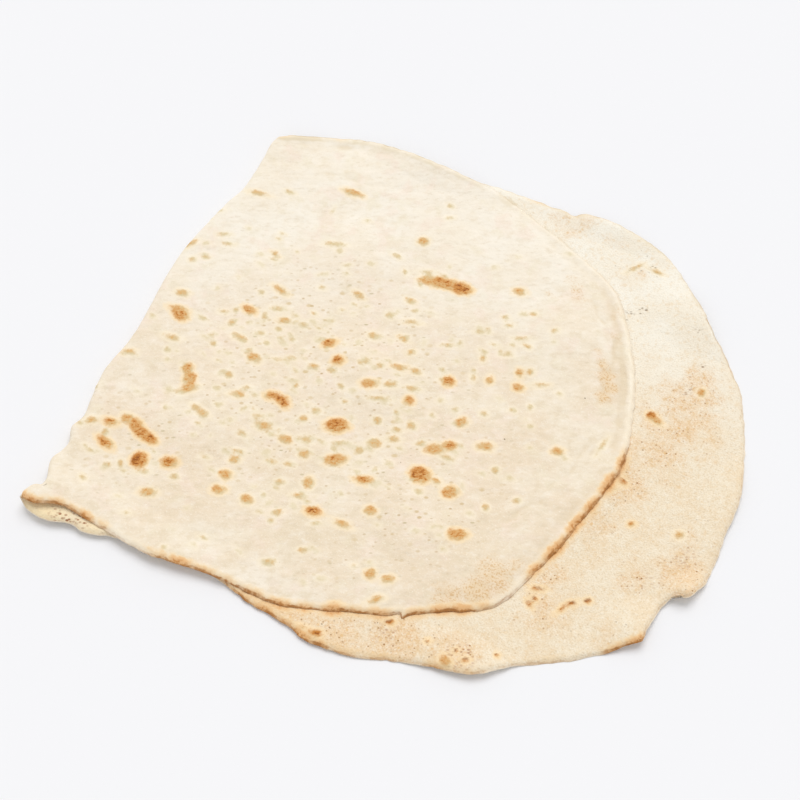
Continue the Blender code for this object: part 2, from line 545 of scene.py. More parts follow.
def cell_shows(face):
    middle = face.calc_center_median()
    if abs(face.normal.z) < 0.5:
        return True
    row = int((middle.x + 0.5) * CELL_ROWS)
    column = int((middle.y + 0.5) * CELLS_ACROSS)
    if abs(middle.z) < 0.5:
        return row < CELLS_UPPER + CELLS_BEND
    return row >= CELLS_UPPER + CELLS_BEND and shown_cells[row - CELLS_UPPER - CELLS_BEND, column]


def crosses_rim(edge):
    return abs(edge.verts[0].co.z - edge.verts[1].co.z) > 0.5


def flat_sheet():
    mesh = bmesh.new()
    bmesh.ops.create_grid(mesh, x_segments=CELL_ROWS, y_segments=CELLS_ACROSS, size=0.5)
    mesh.normal_update()
    bmesh.ops.solidify(mesh, geom=mesh.faces[:], thickness=1.0)
    mesh.normal_update()
    fine_edges = [edge for edge in mesh.edges
                  if not crosses_rim(edge) and any(cell_shows(face) for face in edge.link_faces)]
    bmesh.ops.subdivide_edges(mesh, edges=fine_edges, cuts=FINE - 1, use_grid_fill=True)
    rim_edges = [edge for edge in mesh.edges if crosses_rim(edge)]
    bmesh.ops.subdivide_edges(mesh, edges=rim_edges, cuts=RIM_CUTS, use_grid_fill=True)
    return mesh


sheet = flat_sheet()
lavash = bpy.data.meshes.new("lavash")
bmesh.ops.triangulate(sheet, faces=[face for face in sheet.faces if len(face.verts) > 4])
sheet.to_mesh(lavash)
sheet.free()
triangles = sum(len(polygon.vertices) - 2 for polygon in lavash.polygons)
print("sheet:", len(lavash.vertices), "points,", triangles, "triangles")

# %% [markdown]
# ## Reading values at the mesh's points
#
# From here on, numpy arrays hold one value for each point of the mesh. A point's row and column tell
# where to read the arrays above, between four neighbours where it falls between them.

# %% Row, column and depth of each point
def points_of(mesh_data):
    values = np.empty(len(mesh_data.vertices) * 3, dtype=np.float32)
    mesh_data.vertices.foreach_get("co", values)
    return values.reshape(-1, 3).astype(float)


flat_points = points_of(lavash)
row = np.clip((flat_points[:, 0] + 0.5) * (len(outer) - 1), 0, len(outer) - 1)
column = np.clip((flat_points[:, 1] + 0.5) * COLUMNS, 0, COLUMNS)
depth = np.clip(np.abs(flat_points[:, 2]), 0, 1)


def read(array):
    """Values of a row-by-column array at each mesh point."""
    top, left = np.floor(row).astype(int), np.floor(column).astype(int)
    below, right = np.minimum(top + 1, len(array) - 1), np.minimum(left + 1, COLUMNS)
    shape = (-1,) + (1,) * (array.ndim - 2)
    down, across = (row - top).reshape(shape), (column - left).reshape(shape)
    upper_pair = array[top, left] * (1 - across) + array[top, right] * across
    lower_pair = array[below, left] * (1 - across) + array[below, right] * across
    return upper_pair * (1 - down) + lower_pair * down


outer_at, normal_at, rim_out_at = read(outer), unit(read(outer_normals)), read(rim_out)
rim_at = read(rim_distance)
plan_at = outer_at[:, :2]
on_upper = row < last_upper_row + (first_lower_row - last_upper_row) / 2
print("points on the upper flap:", round(on_upper.mean() * 100), "%")

# %% [markdown]
# ## Scorch marks
#
# Where a bubble touched the oven wall, the crust is scorched: an oval patch, pale tan if the touch
# was brief and dark brown if it was long. Most lie along the grain in which the dough was stretched.
# The marks that give this bread its face are listed one by one: the place in centimetres, the length
# and width in millimetres, how far the oval is turned from the grain in degrees, and its heat. A pale
# mark has a heat of about 0.3 and a dark one of about 1. Where ovals overlap they melt together.

# %% Marks on the two faces
GRAIN = math.radians(27.65)
UPPER_MARKS = [
    (-4.5, 8.2, 12, 8, 0, 0.55), (-3.7, 8.4, 15, 9, 4, 0.76), (-3.0, 8.5, 13, 8, 12, 0.72),
    (-2.1, 8.6, 14, 9, 18, 0.96), (-4.8, 8.8, 7, 2.5, 8, 0.35), (1.8, -5.1, 14, 12, 20, 0.8),
    (2.9, -5.0, 6, 4, 30, 0.54), (4.0, -5.3, 11, 8, -15, 0.68), (-4.5, -4.4, 16, 10, 2, 0.84),
    (-14.3, -12.3, 11, 11, 20, 0.98), (-13.7, -12.9, 7, 3.5, 5, 0.42), (-16.5, -10.2, 9, 7, 30, 0.56),
    (-15.8, -10.3, 12, 8, 44, 0.74), (-15.2, -10.6, 12, 8, 44, 0.84), (-14.5, -10.7, 11, 7, 38, 0.9),
    (-17.3, -10.9, 9, 5.5, 15, 0.78), (-18.4, -11.4, 8, 5, -10, 0.5), (-16.8, -12.3, 12, 6.5, 41, 0.78),
    (-17.2, -11.7, 4.5, 4.5, 0, 0.4), (-17.2, -13.2, 6, 2.5, 10, 0.34), (-12.5, -11.6, 11, 8, 8, 0.76),
    (-12.6, -14.0, 11, 6, 3, 0.54), (-15.9, -13.6, 5, 3.5, 0, 0.4), (-15.2, -13.1, 4, 4.5, 0, 0.42),
    (-11.7, -12.3, 5, 4, 0, 0.4), (-18.0, -1.6, 12, 4.5, 14, 0.66), (-17.6, -1.9, 11, 9, 40, 0.74),
    (-18.4, -0.4, 8, 5.5, 10, 0.52), (-16.3, -1.4, 6, 3, 35, 0.3), (-20.0, 3.3, 8, 4, -25, 0.5),
    (-19.2, 2.2, 5, 4, 0, 0.35), (-19.1, -6.0, 8, 4, 0, 0.5), (-17.2, -3.7, 10, 4.5, 12, 0.46),
    (-17.0, -4.6, 4, 4, 0, 0.32), (-14.6, -2.8, 4, 4, 0, 0.34), (-15.1, -5.2, 8, 8, 20, 0.62),
    (-14.6, -5.8, 9, 10, 20, 0.66), (-14.2, -6.4, 11, 7, -12, 0.6), (-14.6, -6.9, 8, 3.5, 5, 0.4),
    (-13.0, -7.5, 7, 4, 30, 0.46), (-12.4, -7.7, 8, 4.5, 30, 0.5), (-18.1, 9.1, 12, 3.5, 12, 0.48),
    (-16.3, 10.3, 6, 3, 15, 0.32), (-12.4, 12.3, 14, 5, 22, 0.56), (-6.2, 10.9, 8, 7, 15, 0.52),
    (-11.4, 7.8, 12, 4, 10, 0.36), (-14.6, 5.3, 6, 3.5, 35, 0.5), (-7.2, 9.0, 6, 4, 30, 0.34),
    (-12.8, 2.9, 11, 4.5, 36, 0.54), (-13.9, 0.6, 10, 6, 35, 0.74), (-14.4, -0.8, 5, 5, 10, 0.42),
    (-15.3, -0.3, 5, 3, 0, 0.38), (-14.7, 0.2, 4, 3.5, 0, 0.36), (-12.7, 0.6, 4, 7, 10, 0.36),
    (-12.3, 1.5, 9, 3.5, 5, 0.34), (-11.4, 0.9, 9, 5, 10, 0.52), (-11.0, 1.6, 5, 2.5, 35, 0.3),
    (-10.1, 1.2, 5, 4, 15, 0.34), (-13.3, -1.6, 9, 4.5, 28, 0.5), (-10.9, -0.4, 5, 3, 35, 0.3),
    (-9.6, -1.5, 6, 3, 0, 0.36), (-11.7, -2.5, 10, 7, 35, 0.52), (-12.5, -4.4, 6, 6, 0, 0.42),
    (-8.0, 5.0, 8, 5, 38, 0.5), (-4.7, 6.2, 8, 4, 30, 0.46), (-5.4, 4.6, 6, 5, 0, 0.32),
    (-3.9, 4.7, 9, 3.2, 10, 0.48), (-5.6, 2.6, 7, 5, 38, 0.5), (-3.7, 3.4, 5, 4, 0, 0.38),
    (-7.9, 0.8, 10, 6, -12, 0.94), (-6.7, -0.2, 8.5, 7.5, 0, 0.76), (-7.9, -1.3, 6, 4.5, 30, 0.46),
    (-6.7, -1.0, 7, 4, 25, 0.36), (-5.1, 0.6, 6, 5, 0, 0.36), (-4.1, 0.7, 5, 4, 0, 0.4),
    (-2.9, 1.2, 10, 4, 12, 0.56), (-1.9, 1.4, 7, 4.5, 14, 0.52), (-4.1, -0.8, 11, 6.5, 0, 0.64),
    (-2.9, -0.3, 8, 4, 8, 0.44), (-1.5, 0.2, 8, 3.5, 10, 0.4), (-1.3, -0.7, 7, 6.5, 0, 0.74),
    (0.3, 1.8, 8, 8, 0, 0.8), (2.6, 3.1, 5, 6, 0, 0.62), (4.5, 3.5, 7, 5.5, 15, 0.7),
    (1.4, 10.2, 9, 6, 5, 0.56), (-11.2, -5.4, 10, 5, 5, 0.5), (-9.3, -4.4, 9, 5.5, -8, 0.76),
    (-8.6, -4.4, 9, 5.5, 15, 0.95), (-8.2, -4.6, 7, 5, 45, 1.05), (-9.2, -6.1, 6, 3, 10, 0.42),
    (-8.6, -6.6, 10, 6, 12, 0.54), (-9.5, -7.7, 6, 3.5, 12, 0.36), (-6.9, -6.8, 9, 6.5, 25, 0.56),
    (-5.7, -6.2, 7, 5, 20, 0.44), (-6.6, -5.0, 6, 5, 0, 0.44), (-6.2, -4.1, 6, 5, 0, 0.36),
    (-9.1, -8.9, 7, 3, 15, 0.42), (-9.0, -9.5, 7, 5.5, 0, 0.52), (-6.9, -8.6, 6, 3.5, 15, 0.36),
    (-5.8, -8.2, 6, 4, 0, 0.38), (-5.3, -7.2, 7, 5.5, 0, 0.52), (-9.0, -10.7, 8.5, 7, 22, 0.64),
    (-8.8, -11.8, 9, 6.5, 5, 0.64), (-5.7, -9.6, 6, 4, 0, 0.4), (-4.1, -8.8, 7, 8.5, 10, 0.56),
    (-4.2, -9.9, 7, 4, 15, 0.48), (-6.9, -11.6, 8, 6.5, 25, 0.54), (-4.8, -11.5, 8, 4, -5, 0.44),
    (-2.9, -10.4, 10, 6.5, 8, 0.94), (-0.9, -10.3, 10, 5, 25, 0.56), (-2.3, -11.0, 5, 3, 0, 0.34),
    (-3.0, -1.5, 11, 3, 4, 0.36), (-2.4, -2.9, 6, 5.5, 0, 0.4), (-1.0, -2.9, 6, 3.5, 10, 0.42),
    (-0.9, -3.6, 8, 4.5, 0, 0.46), (-0.3, -2.2, 5, 4, 30, 0.38), (-1.8, -4.4, 9, 7, 0, 0.46),
    (-3.7, -5.4, 10, 3, 4, 0.34), (-2.4, -5.3, 6, 5, 0, 0.36), (-3.4, -6.6, 14, 8.5, -8, 0.66),
    (-1.1, -7.0, 12, 6, 10, 0.7), (0.2, -8.7, 8, 7, 20, 0.58), (0.8, -3.1, 6, 4, 0, 0.38),
    (1.8, -3.0, 13, 7.5, 0, 0.62), (2.5, -2.4, 10, 6.5, -10, 0.7), (2.4, -0.5, 9, 7, -20, 0.6),
    (4.5, -1.4, 11, 6.5, 5, 0.56), (2.8, -3.2, 7, 3, 20, 0.38), (5.7, -7.7, 13, 8, 5, 0.7),
    (8.7, 0.4, 8, 6, 5, 0.6), (7.9, -3.9, 5, 4, 0, 0.4), (2.2, -12.4, 7, 7, 0, 0.62),
    (3.3, -12.2, 8, 5, -10, 0.58), (3.3, -13.7, 9, 4.5, -14, 0.54), (1.3, -15.2, 8, 5, 0, 0.84),
    (-2.1, -12.9, 7, 3.5, 0, 0.44), (-3.6, -14.6, 8, 5, 0, 0.32), (4.8, 8.4, 5, 3, -30, 0.3),
    (1.5, 7.9, 4.5, 3, 10, 0.36), (1.9, 7.4, 5, 3, 0, 0.36), (3.0, 9.0, 4, 3.5, 0, 0.46),
    (2.4, 8.7, 5, 4, 0, 0.2), (0.9, 6.5, 3, 4, 0, 0.36), (0.5, 6.1, 4, 3, 0, 0.26),
    (3.1, 6.9, 8, 2.8, 6, 0.38), (3.7, 6.5, 5, 3, 30, 0.44), (2.8, 6.2, 3.5, 3, 0, 0.34),
    (2.8, 5.4, 5.5, 3, 5, 0.42), (2.3, 5.3, 2.5, 3, 0, 0.3), (1.3, 4.9, 5, 3, 30, 0.36),
    (1.5, 4.4, 4, 4, 30, 0.5), (4.1, 4.5, 5, 6, -10, 0.62), (4.7, 4.9, 4.5, 4, 0, 0.48),
    (5.7, 4.3, 7, 2.5, 0, 0.5), (4.9, 1.8, 4, 3, 0, 0.34), (5.8, 2.5, 3, 4, 0, 0.34),
    (3.4, 0.7, 4.5, 3.5, 0, 0.4), (6.4, 1.2, 4, 3.5, 0, 0.28), (5.8, -2.6, 5, 5, 0, 0.42),
    (6.4, -5.2, 4.5, 4.5, 0, 0.46), (11.0, 2.1, 10, 2.5, -57, 0.38), (1.6, 2.8, 3, 4, 0, 0.46),
    (1.4, 3.3, 3, 2.5, 0, 0.3), (1.6, 0.1, 4, 3, 0, 0.26), (-1.5, 0.2, 4, 3, 0, 0.46),
    (0.5, 0.3, 4, 3.5, 0, 0.3), (-0.3, -2.2, 6, 5, 20, 0.44), (0.4, 6.1, 5, 2.5, 0, 0.3),
    (-1.0, 4.2, 7, 2.5, 0, 0.38), (-0.3, 4.7, 3, 4, 0, 0.24), (-3.8, 3.3, 7, 4, 30, 0.5),
    (-2.8, 2.6, 5, 4, -20, 0.46), (-19.1, 3.8, 5, 3, 0, 0.24), (-18.4, 5.0, 6, 2.5, 0, 0.32),
    (-17.8, 4.5, 7, 3, 10, 0.34),
]
LOWER_MARKS = [
    (7.4, 15.8, 9, 2.8, -28, 0.46), (8.8, 16.2, 8, 2.8, 30, 0.48), (12.9, 5.7, 7, 6, 20, 0.95),
    (13.4, 5.5, 7, 4, 35, 0.7), (15.1, 8.8, 5, 6, 25, 0.6), (13.0, 0.5, 7, 3.5, 35, 1.15),
    (12.7, -0.3, 6, 4, -20, 0.7), (14.8, -1.9, 4, 3.2, 0, 0.8), (17.7, -1.2, 6, 5, 0, 0.56),
    (11.5, -8.5, 6, 2.4, 10, 1.3), (11.6, -9.2, 4, 3.5, 0, 1.4), (11.5, -9.6, 5, 3, 60, 1.1),
    (13.7, -8.4, 5, 3, -20, 1.4), (13.3, -9.0, 6, 2.5, -40, 1.0), (14.5, -7.8, 3.4, 3.2, 0, 1.5),
    (4.6, -14.5, 6, 4, 0, 1.2), (9.0, -14.4, 2.8, 2.8, 0, 1.5), (8.7, -15.3, 8, 6, 60, 0.74),
    (9.7, -14.7, 4, 3, 0, 1.4), (1.0, -17.3, 9, 5, 10, 0.95), (0.1, -17.3, 5, 3, 0, 0.9),
    (7.2, -14.6, 2.6, 2.4, 0, 1.3), (11.2, -13.5, 2.4, 2.4, 0, 1.2),
]
print("marks listed:", len(UPPER_MARKS), "and", len(LOWER_MARKS))

# %% [markdown]
# The faint marks crowd the middle of the upper flap and thin out towards the back and the right. A
# seeded generator draws their places from a few soft clouds, each with a place, a spread and a count,
# so they fall the same way every time. Small bubbles are mostly cool, so a power of the drawn number
# keeps the hot ones rare. The face that lies on the table gets some larger marks of its own.

# %% Random marks
SMALL_MARK_CLOUDS = [
    (-8.0, -1.0, 4.6, 66), (-10.6, 0.4, 1.8, 12), (-5.4, -0.2, 2.0, 10), (-2.0, -5.5, 4.2, 44),
    (-13.0, -6.0, 3.6, 24), (-14.5, 4.0, 3.6, 18), (3.0, 2.0, 5.0, 18), (-15.5, -12.5, 2.2, 8),
    (-3.0, 10.0, 5.0, 12), (-3.0, -9.5, 4.5, 26), (-9.5, -9.0, 3.5, 16),
]
SMALL_LENGTH, SMALL_SLIMNESS, SMALL_TURN = (2.0, 4.8), (0.45, 0.85), (18, 20)
NARROWEST = 1.6
COOLEST, HEAT_RANGE, HEAT_POWER = 0.1, 0.32, 1.5
TABLE_MARK_COUNT = 130
TABLE_LENGTH, TABLE_SLIMNESS, TABLE_TURN, TABLE_HEAT = (6, 15), (0.5, 0.85), (10, 16), (0.25, 0.9)
draws = np.random.default_rng(41)


def small_marks():
    marks = []
    for centre_x, centre_y, spread, count in SMALL_MARK_CLOUDS:
        for _ in range(count):
            x, y = draws.normal((centre_x, centre_y), spread)
            length = draws.uniform(*SMALL_LENGTH)
            width = max(length * draws.uniform(*SMALL_SLIMNESS), NARROWEST)
            turned = draws.normal(*SMALL_TURN)
            heat = COOLEST + HEAT_RANGE * draws.random() ** HEAT_POWER
            marks.append((x, y, length, width, turned, heat))
    return marks


def table_marks():
    places = lower_part.reshape(-1, 2) / CM
    low, high = places.min(axis=0), places.max(axis=0)
    marks = []
    for _ in range(TABLE_MARK_COUNT):
        x, y = draws.uniform(low, high)
        length = draws.uniform(*TABLE_LENGTH)
        width = length * draws.uniform(*TABLE_SLIMNESS)
        marks.append((x, y, length, width, draws.normal(*TABLE_TURN), draws.uniform(*TABLE_HEAT)))
    return marks


print("small marks to draw:", sum(cloud[3] for cloud in SMALL_MARK_CLOUDS))

# %% [markdown]
# Three values at each point are enough for the material to paint the marks crisply: how far inside
# the nearest mark the point lies, how hot that mark was, and how near it is to the mark's darkest
# side. For most of them that is the side towards the back.

# %% Stamping the marks on the bread
MELT = 0.6
DARK_SIDE, DARK_SIDE_SPREAD = 115, 45
FAR_OUTSIDE = -50.0
NO_WEIGHT = 1e-30


def stamp(points, marks):
    """Reach into the nearest marks in mm, negative outside; their heat; and their side, -1 to 1."""
    weight = np.full(len(points), NO_WEIGHT)
    heat, side = np.zeros(len(points)), np.zeros(len(points))
    places = points / CM
    for x, y, length, width, turned, mark_heat in marks:
        angle = GRAIN - math.radians(turned)
        away_x, away_y = (places[:, 0] - x) * 10, (places[:, 1] - y) * 10
        lengthways = (away_x * math.cos(angle) + away_y * math.sin(angle)) / (length / 2)
        sideways = (away_y * math.cos(angle) - away_x * math.sin(angle)) / (width / 2)
        inside_by = (1 - np.hypot(lengthways, sideways)) * min(length, width) / 2
        dark_side = math.radians(turned + draws.normal(DARK_SIDE, DARK_SIDE_SPREAD))
        towards_dark = np.clip(lengthways * math.cos(dark_side) + sideways * math.sin(dark_side), -1, 1)
        share = np.exp(inside_by / MELT)
        weight += share
        heat += share * mark_heat
        side += share * towards_dark
    return np.log(weight) * MELT, heat / weight, side / weight


upper_outer = on_upper & (depth < 1)
lower_inner = ~on_upper & (depth > 0)
lower_outer = ~on_upper & (depth == 0)
mark_reach = np.full(len(row), FAR_OUTSIDE)
mark_heat, mark_side = np.zeros(len(row)), np.zeros(len(row))
for where, marks in ((upper_outer, small_marks() + UPPER_MARKS), (lower_inner, LOWER_MARKS),
                     (lower_outer, table_marks())):
    mark_reach[where], mark_heat[where], mark_side[where] = stamp(plan_at[where], marks)
print("points inside a mark:", round((mark_reach > 0).mean() * 100, 1), "%")

# %% [markdown]
# ## Toasted rims and warm patches
#
# The rim bakes driest and browns first, in stretches, and a thin brown line runs along its very edge;
# at the front that line is also painted shadow, where the rim's edge lies in shade. Where the upper
# flap's rim lies on the lower flap, both are golden. Broad patches of the inner face are toasted to a
# pinkish ochre, and some spots are full of small holes. The open mouth of the fold gets painted light,
# a pale yellow where the upper flap shades it. The rim at the back gets a tan band, dried dough and
# painted shade, and the crust is paler in some parts and duller in others. All are soft places on the
# bread: a place and a spread in centimetres, and a strength.

# %% Toasted places
UPPER_TOAST = [
    (12.5, 1.5, 1.2, 0.7), (12.2, -0.2, 1.2, 0.95), (11.9, -2.0, 1.0, 0.85), (11.6, -3.6, 1.2, 1.0),
    (11.1, -5.6, 1.3, 1.0), (10.6, -7.4, 0.9, 0.8), (8.9, -10.8, 0.8, 0.7), (8.0, -11.6, 0.9, 1.0),
    (7.0, -12.4, 1.0, 0.8), (5.8, -13.3, 1.2, 0.6), (3.8, -14.5, 1.2, 0.7), (2.6, -15.0, 1.2, 0.6),
    (1.4, -15.6, 1.0, 0.95), (-0.2, -16.4, 1.0, 0.75), (-1.6, -16.9, 1.2, 0.85),
    (-3.4, -17.0, 1.4, 0.6), (-5.2, -16.9, 1.4, 0.5), (-6.8, -16.9, 1.4, 0.6), (-8.4, -16.9, 1.0, 0.95),
    (-9.6, -17.0, 1.0, 0.6), (-11.2, -17.0, 1.2, 0.2), (-10.4, -16.9, 0.5, 0.9),
    (-13.8, -16.9, 0.6, 0.7), (-15.0, -17.0, 0.7, 0.9), (-16.0, -17.3, 0.8, 0.6),
    (-17.0, -17.4, 0.9, 0.7), (-18.6, -17.8, 1.2, 0.8), (-19.0, 14.1, 0.7, 0.4),
    (-15.4, 16.0, 0.7, 0.3),
]
# Where the upper rim's edge line is strongest: browned dough and painted shadow under the edge.
UPPER_LINE_AND_SHADOW = [
    (-18.5, -17.8, 1.5, 0.6), (-16.6, -17.4, 1.0, 0.5), (-12.5, -17.1, 1.6, 0.3),
    (-8.4, -17.0, 2.2, 0.8), (-5.0, -17.0, 2.6, 1.0), (-1.0, -16.7, 2.6, 1.0), (2.6, -15.2, 2.2, 1.0),
    (5.6, -13.4, 1.8, 0.85), (7.8, -11.8, 1.6, 1.0), (9.6, -10.0, 1.4, 0.5), (10.8, -6.8, 1.4, 0.5),
    (11.6, -3.8, 1.6, 0.7), (12.2, -0.8, 1.6, 0.7), (12.6, 1.8, 1.2, 0.4),
]
LOWER_TOAST = [
    (-5.0, -17.4, 1.0, 0.6), (-4.0, -17.6, 1.0, 0.8), (-2.4, -17.6, 1.2, 0.85), (-0.8, -17.7, 1.0, 0.7),
    (0.4, -17.8, 0.9, 1.0), (1.6, -17.7, 0.8, 0.7), (3.0, -17.3, 1.2, 0.5), (5.1, -16.6, 1.5, 0.45),
    (8.3, -15.9, 0.8, 0.6), (10.2, -15.3, 1.0, 0.35), (14.0, -12.3, 2.0, 0.3), (18.2, -9.1, 0.8, 1.0),
    (17.3, -9.9, 0.9, 0.7), (16.4, 11.4, 1.5, 0.2), (19.9, 4.0, 2.0, 0.2), (2.2, 18.2, 1.5, 0.2),
    (-0.7, 17.9, 1.2, 0.3),
]
UPPER_WARMTH = [
    (8.9, -9.0, 1.4, 0.9), (8.4, -10.4, 1.2, 1.0), (7.2, -11.7, 1.1, 0.9), (9.8, -7.8, 0.9, 0.5),
    (7.9, 8.3, 0.45, 0.5), (8.6, 7.6, 0.5, 0.8), (9.2, 6.9, 0.55, 1.1), (9.7, 6.2, 0.55, 1.2),
    (9.6, 5.4, 0.6, 0.9), (4.1, 12.8, 0.6, 0.5), (4.7, 12.2, 0.6, 0.55), (5.2, 11.6, 0.6, 0.5),
    (3.1, 11.0, 0.4, 0.35), (8.5, 10.0, 0.5, 0.55), (7.7, 11.6, 0.6, 0.45), (8.6, 9.9, 0.5, 0.5),
    (6.8, -12.7, 0.9, 0.5),
]
LOWER_WARMTH = [
    (2.0, -16.4, 2.4, 0.8), (5.5, -15.6, 2.2, 0.9), (9.0, -14.9, 1.8, 0.9), (-1.5, -17.2, 2.0, 1.0),
    (-4.5, -17.2, 1.5, 1.0), (12.0, -11.5, 2.0, 0.3), (11.6, -9.0, 1.2, 0.6), (18.9, -3.6, 1.8, 0.85),
    (18.2, -1.4, 1.2, 0.5), (16.3, -5.2, 1.2, 0.7), (14.7, 9.6, 1.4, 0.8), (14.0, 7.6, 1.7, 0.8),
    (15.0, 5.8, 1.3, 0.9), (13.0, 5.6, 1.4, 0.7), (12.8, 2.4, 1.8, 0.6), (12.6, -3.0, 2.0, 0.5),
    (7.6, 15.2, 1.3, 0.45), (2.0, 17.2, 2.2, 0.5), (4.6, 17.0, 1.4, 0.35), (16.8, -9.8, 1.2, 0.5),
    (16.0, 3.0, 1.2, 0.4), (14.0, 7.4, 0.9, 0.7), (14.6, 2.2, 2.2, 0.4), (17.0, 5.4, 2.0, 0.4),
    (12.7, -0.6, 0.8, 0.8), (12.2, -2.8, 0.8, 0.9), (11.5, -5.0, 0.8, 0.8), (11.3, -1.9, 1.2, 0.9),
    (11.6, -7.6, 1.6, 0.8), (12.4, -9.8, 1.6, 0.6), (13.2, 0.5, 1.8, 0.8), (14.3, 3.7, 1.8, 0.8),
    (15.0, 8.5, 1.6, 0.8), (15.8, 6.9, 1.4, 0.7),
]
POROUS = [
    (-16.2, -17.8, 0.7, 1.0), (-15.2, -17.5, 0.6, 0.8), (-17.0, -17.9, 0.5, 0.6), (8.6, 12.1, 0.4, 1.0),
    (9.3, 12.8, 0.45, 0.8), (7.0, 15.4, 0.3, 0.9), (7.4, 15.8, 0.35, 1.0), (7.8, 16.1, 0.35, 1.0),
    (8.5, 16.3, 0.3, 1.0), (8.9, 16.1, 0.3, 0.9), (14.5, 10.6, 0.4, 0.6), (14.1, 8.6, 0.6, 0.6),
    (13.2, 12.9, 0.4, 0.5), (9.4, -14.7, 1.2, 0.7), (11.7, -9.3, 0.8, 0.5), (4.8, -15.2, 1.3, 0.4),
    (18.6, -2.6, 1.2, 0.4), (17.2, -4.8, 1.0, 0.4),
]
# Where the mouth of the fold is brightened by painted light, against the shade of the upper flap.
MOUTH = [(-17.8, -17.9, 2.4, 1.0), (-14.5, -17.0, 1.6, 0.8), (-12.6, -16.8, 1.2, 0.6)]
# Where the far rim gets its tan band: dried dough and painted shade on the rolled rim.
DRY_AND_SHADED_RIM = [
    (-17.6, 15.0, 3.0, 1.0), (-13.4, 16.6, 2.8, 1.0), (-9.5, 17.3, 2.4, 0.9), (-6.0, 17.2, 2.0, 0.6),
    (-2.4, 16.9, 0.9, 0.8), (2.0, 18.2, 3.0, 0.8), (7.0, 17.8, 3.0, 0.7), (12.0, 15.4, 3.0, 0.6),
    (16.0, 12.0, 3.0, 0.5), (18.5, 8.0, 3.0, 0.3),
]
PALE = [
    (-3.6, -15.6, 2.2, 0.8), (-0.8, -15.2, 2.0, 0.8), (-6.4, 15.2, 2.4, 0.8), (-2.0, 14.4, 2.4, 0.7),
    (-16.1, 13.8, 2.0, 0.4), (-17.0, -8.0, 2.4, 0.6), (-9.0, 14.5, 3.0, 0.5), (-7.5, -15.8, 2.0, 0.4),
]
DULL = [
    (-6.3, -8.5, 2.6, 0.9), (-2.8, -12.1, 2.4, 0.9), (-0.5, -11.4, 2.4, 0.7), (6.0, -7.9, 2.2, 1.0),
    (7.0, -5.8, 1.8, 0.6), (4.2, -5.8, 2.0, 0.6), (1.5, -8.0, 3.0, 0.5), (2.5, -11.0, 2.4, 0.5),
]
CROWD = [
    (-7.0, -2.0, 13.0, 1.0), (0.5, -13.0, 5.0, 0.7), (2.0, -6.0, 9.0, 0.9), (-15.0, -11.0, 7.0, 0.8),
]


def places_at(points, places):
    """The strongest of several soft round places, at each point."""
    strongest = np.zeros(len(points))
    for x, y, spread, strength in places:
        away = np.hypot(points[:, 0] / CM - x, points[:, 1] / CM - y) / spread
        strongest = np.maximum(strongest, strength * np.exp(-away ** 2))
    return strongest


BESIDE_SHARE = 0.9
MOUTH_LIMIT = 0.3
mouth_light = places_at(plan_at, MOUTH) * ~on_upper
porous = places_at(plan_at, POROUS) * ~on_upper
beside_upper = distance_to(plan_at, upper_rim)
touches_upper = lower_inner & (beside_upper < rim_at) & (mouth_light < MOUTH_LIMIT)
toasted_at = np.where(touches_upper, beside_upper, rim_at)
toast_of_upper = places_at(plan_at, UPPER_TOAST)
rim_toast = np.where(on_upper, toast_of_upper, places_at(plan_at, LOWER_TOAST))
rim_toast = np.where(touches_upper, np.maximum(rim_toast, BESIDE_SHARE * toast_of_upper), rim_toast)
rim_line_and_shadow = np.where(on_upper, np.maximum(rim_toast, places_at(plan_at, UPPER_LINE_AND_SHADOW)), rim_toast)
warmth = np.where(on_upper, places_at(plan_at, UPPER_WARMTH), places_at(plan_at, LOWER_WARMTH))
crowd = places_at(plan_at, CROWD)
rim_dry_and_shade = places_at(plan_at, DRY_AND_SHADED_RIM)
tone = (places_at(plan_at, PALE) - places_at(plan_at, DULL)) * on_upper
print("toasted rim:", round(((rim_toast > 0.4) & (rim_at < 2 * MM)).mean() * 100, 2), "% of the points")

# %% [markdown]
# ## Relief
#
# Each mark is the skin of a small bubble, so it stands up by a fraction of a millimetre. Between the
# marks the crust has faint wrinkles along the grain, and a few soft creases, broken into stretches.
# Along the loose and the far rim it is puffed into a soft roll, with a shallow dip and fine furrows
# behind it. Only geometry catches the light and shows in the outline, so all of this moves the mesh's
# points. The finest grain is left to the material. Heights and widths are in millimetres, and places
# are in centimetres, as above. A crease has two ends, a width and a depth.

# %% Relief of the two faces
BLISTER_HEIGHT, BLISTER_SKIRT, BLISTER_SLOPE = 0.55, 1.6, 4.5
COOL_BLISTER, BLISTER_PER_HEAT = 0.35, 0.65
WRINKLE_HEIGHT, WRINKLE_SIZE, INNER_WRINKLES = 0.2, (15, 4.5), 0.6
GRIT_HEIGHT, GRIT_SIZE, OUTER_GRIT = 0.14, 3.2, 0.5
ROLLS = [
    (7.4, 12.7, 1.8, 0.7), (9.2, 10.5, 2.2, 1.0), (10.4, 8.4, 2.0, 1.0), (11.2, 6.6, 2.0, 1.0),
    (12.0, 3.9, 1.6, 0.9), (5.4, 14.5, 2.0, 0.6), (2.6, 15.3, 1.5, 0.5), (-15.6, 15.9, 2.0, 0.5),
    (-18.4, 14.6, 1.4, 0.5), (-12.8, 16.8, 2.0, 0.4), (-8.0, 17.2, 3.0, 0.4), (11.8, -2.8, 1.8, 0.7),
    (11.0, -6.0, 1.6, 0.5),
]
ROLL_HEIGHT, ROLL_MIDDLE, ROLL_WIDTH = 0.7, 2.8, 2.2
DIP_DEPTH, DIP_MIDDLE, DIP_WIDTH = 0.9, 7.6, 3.0
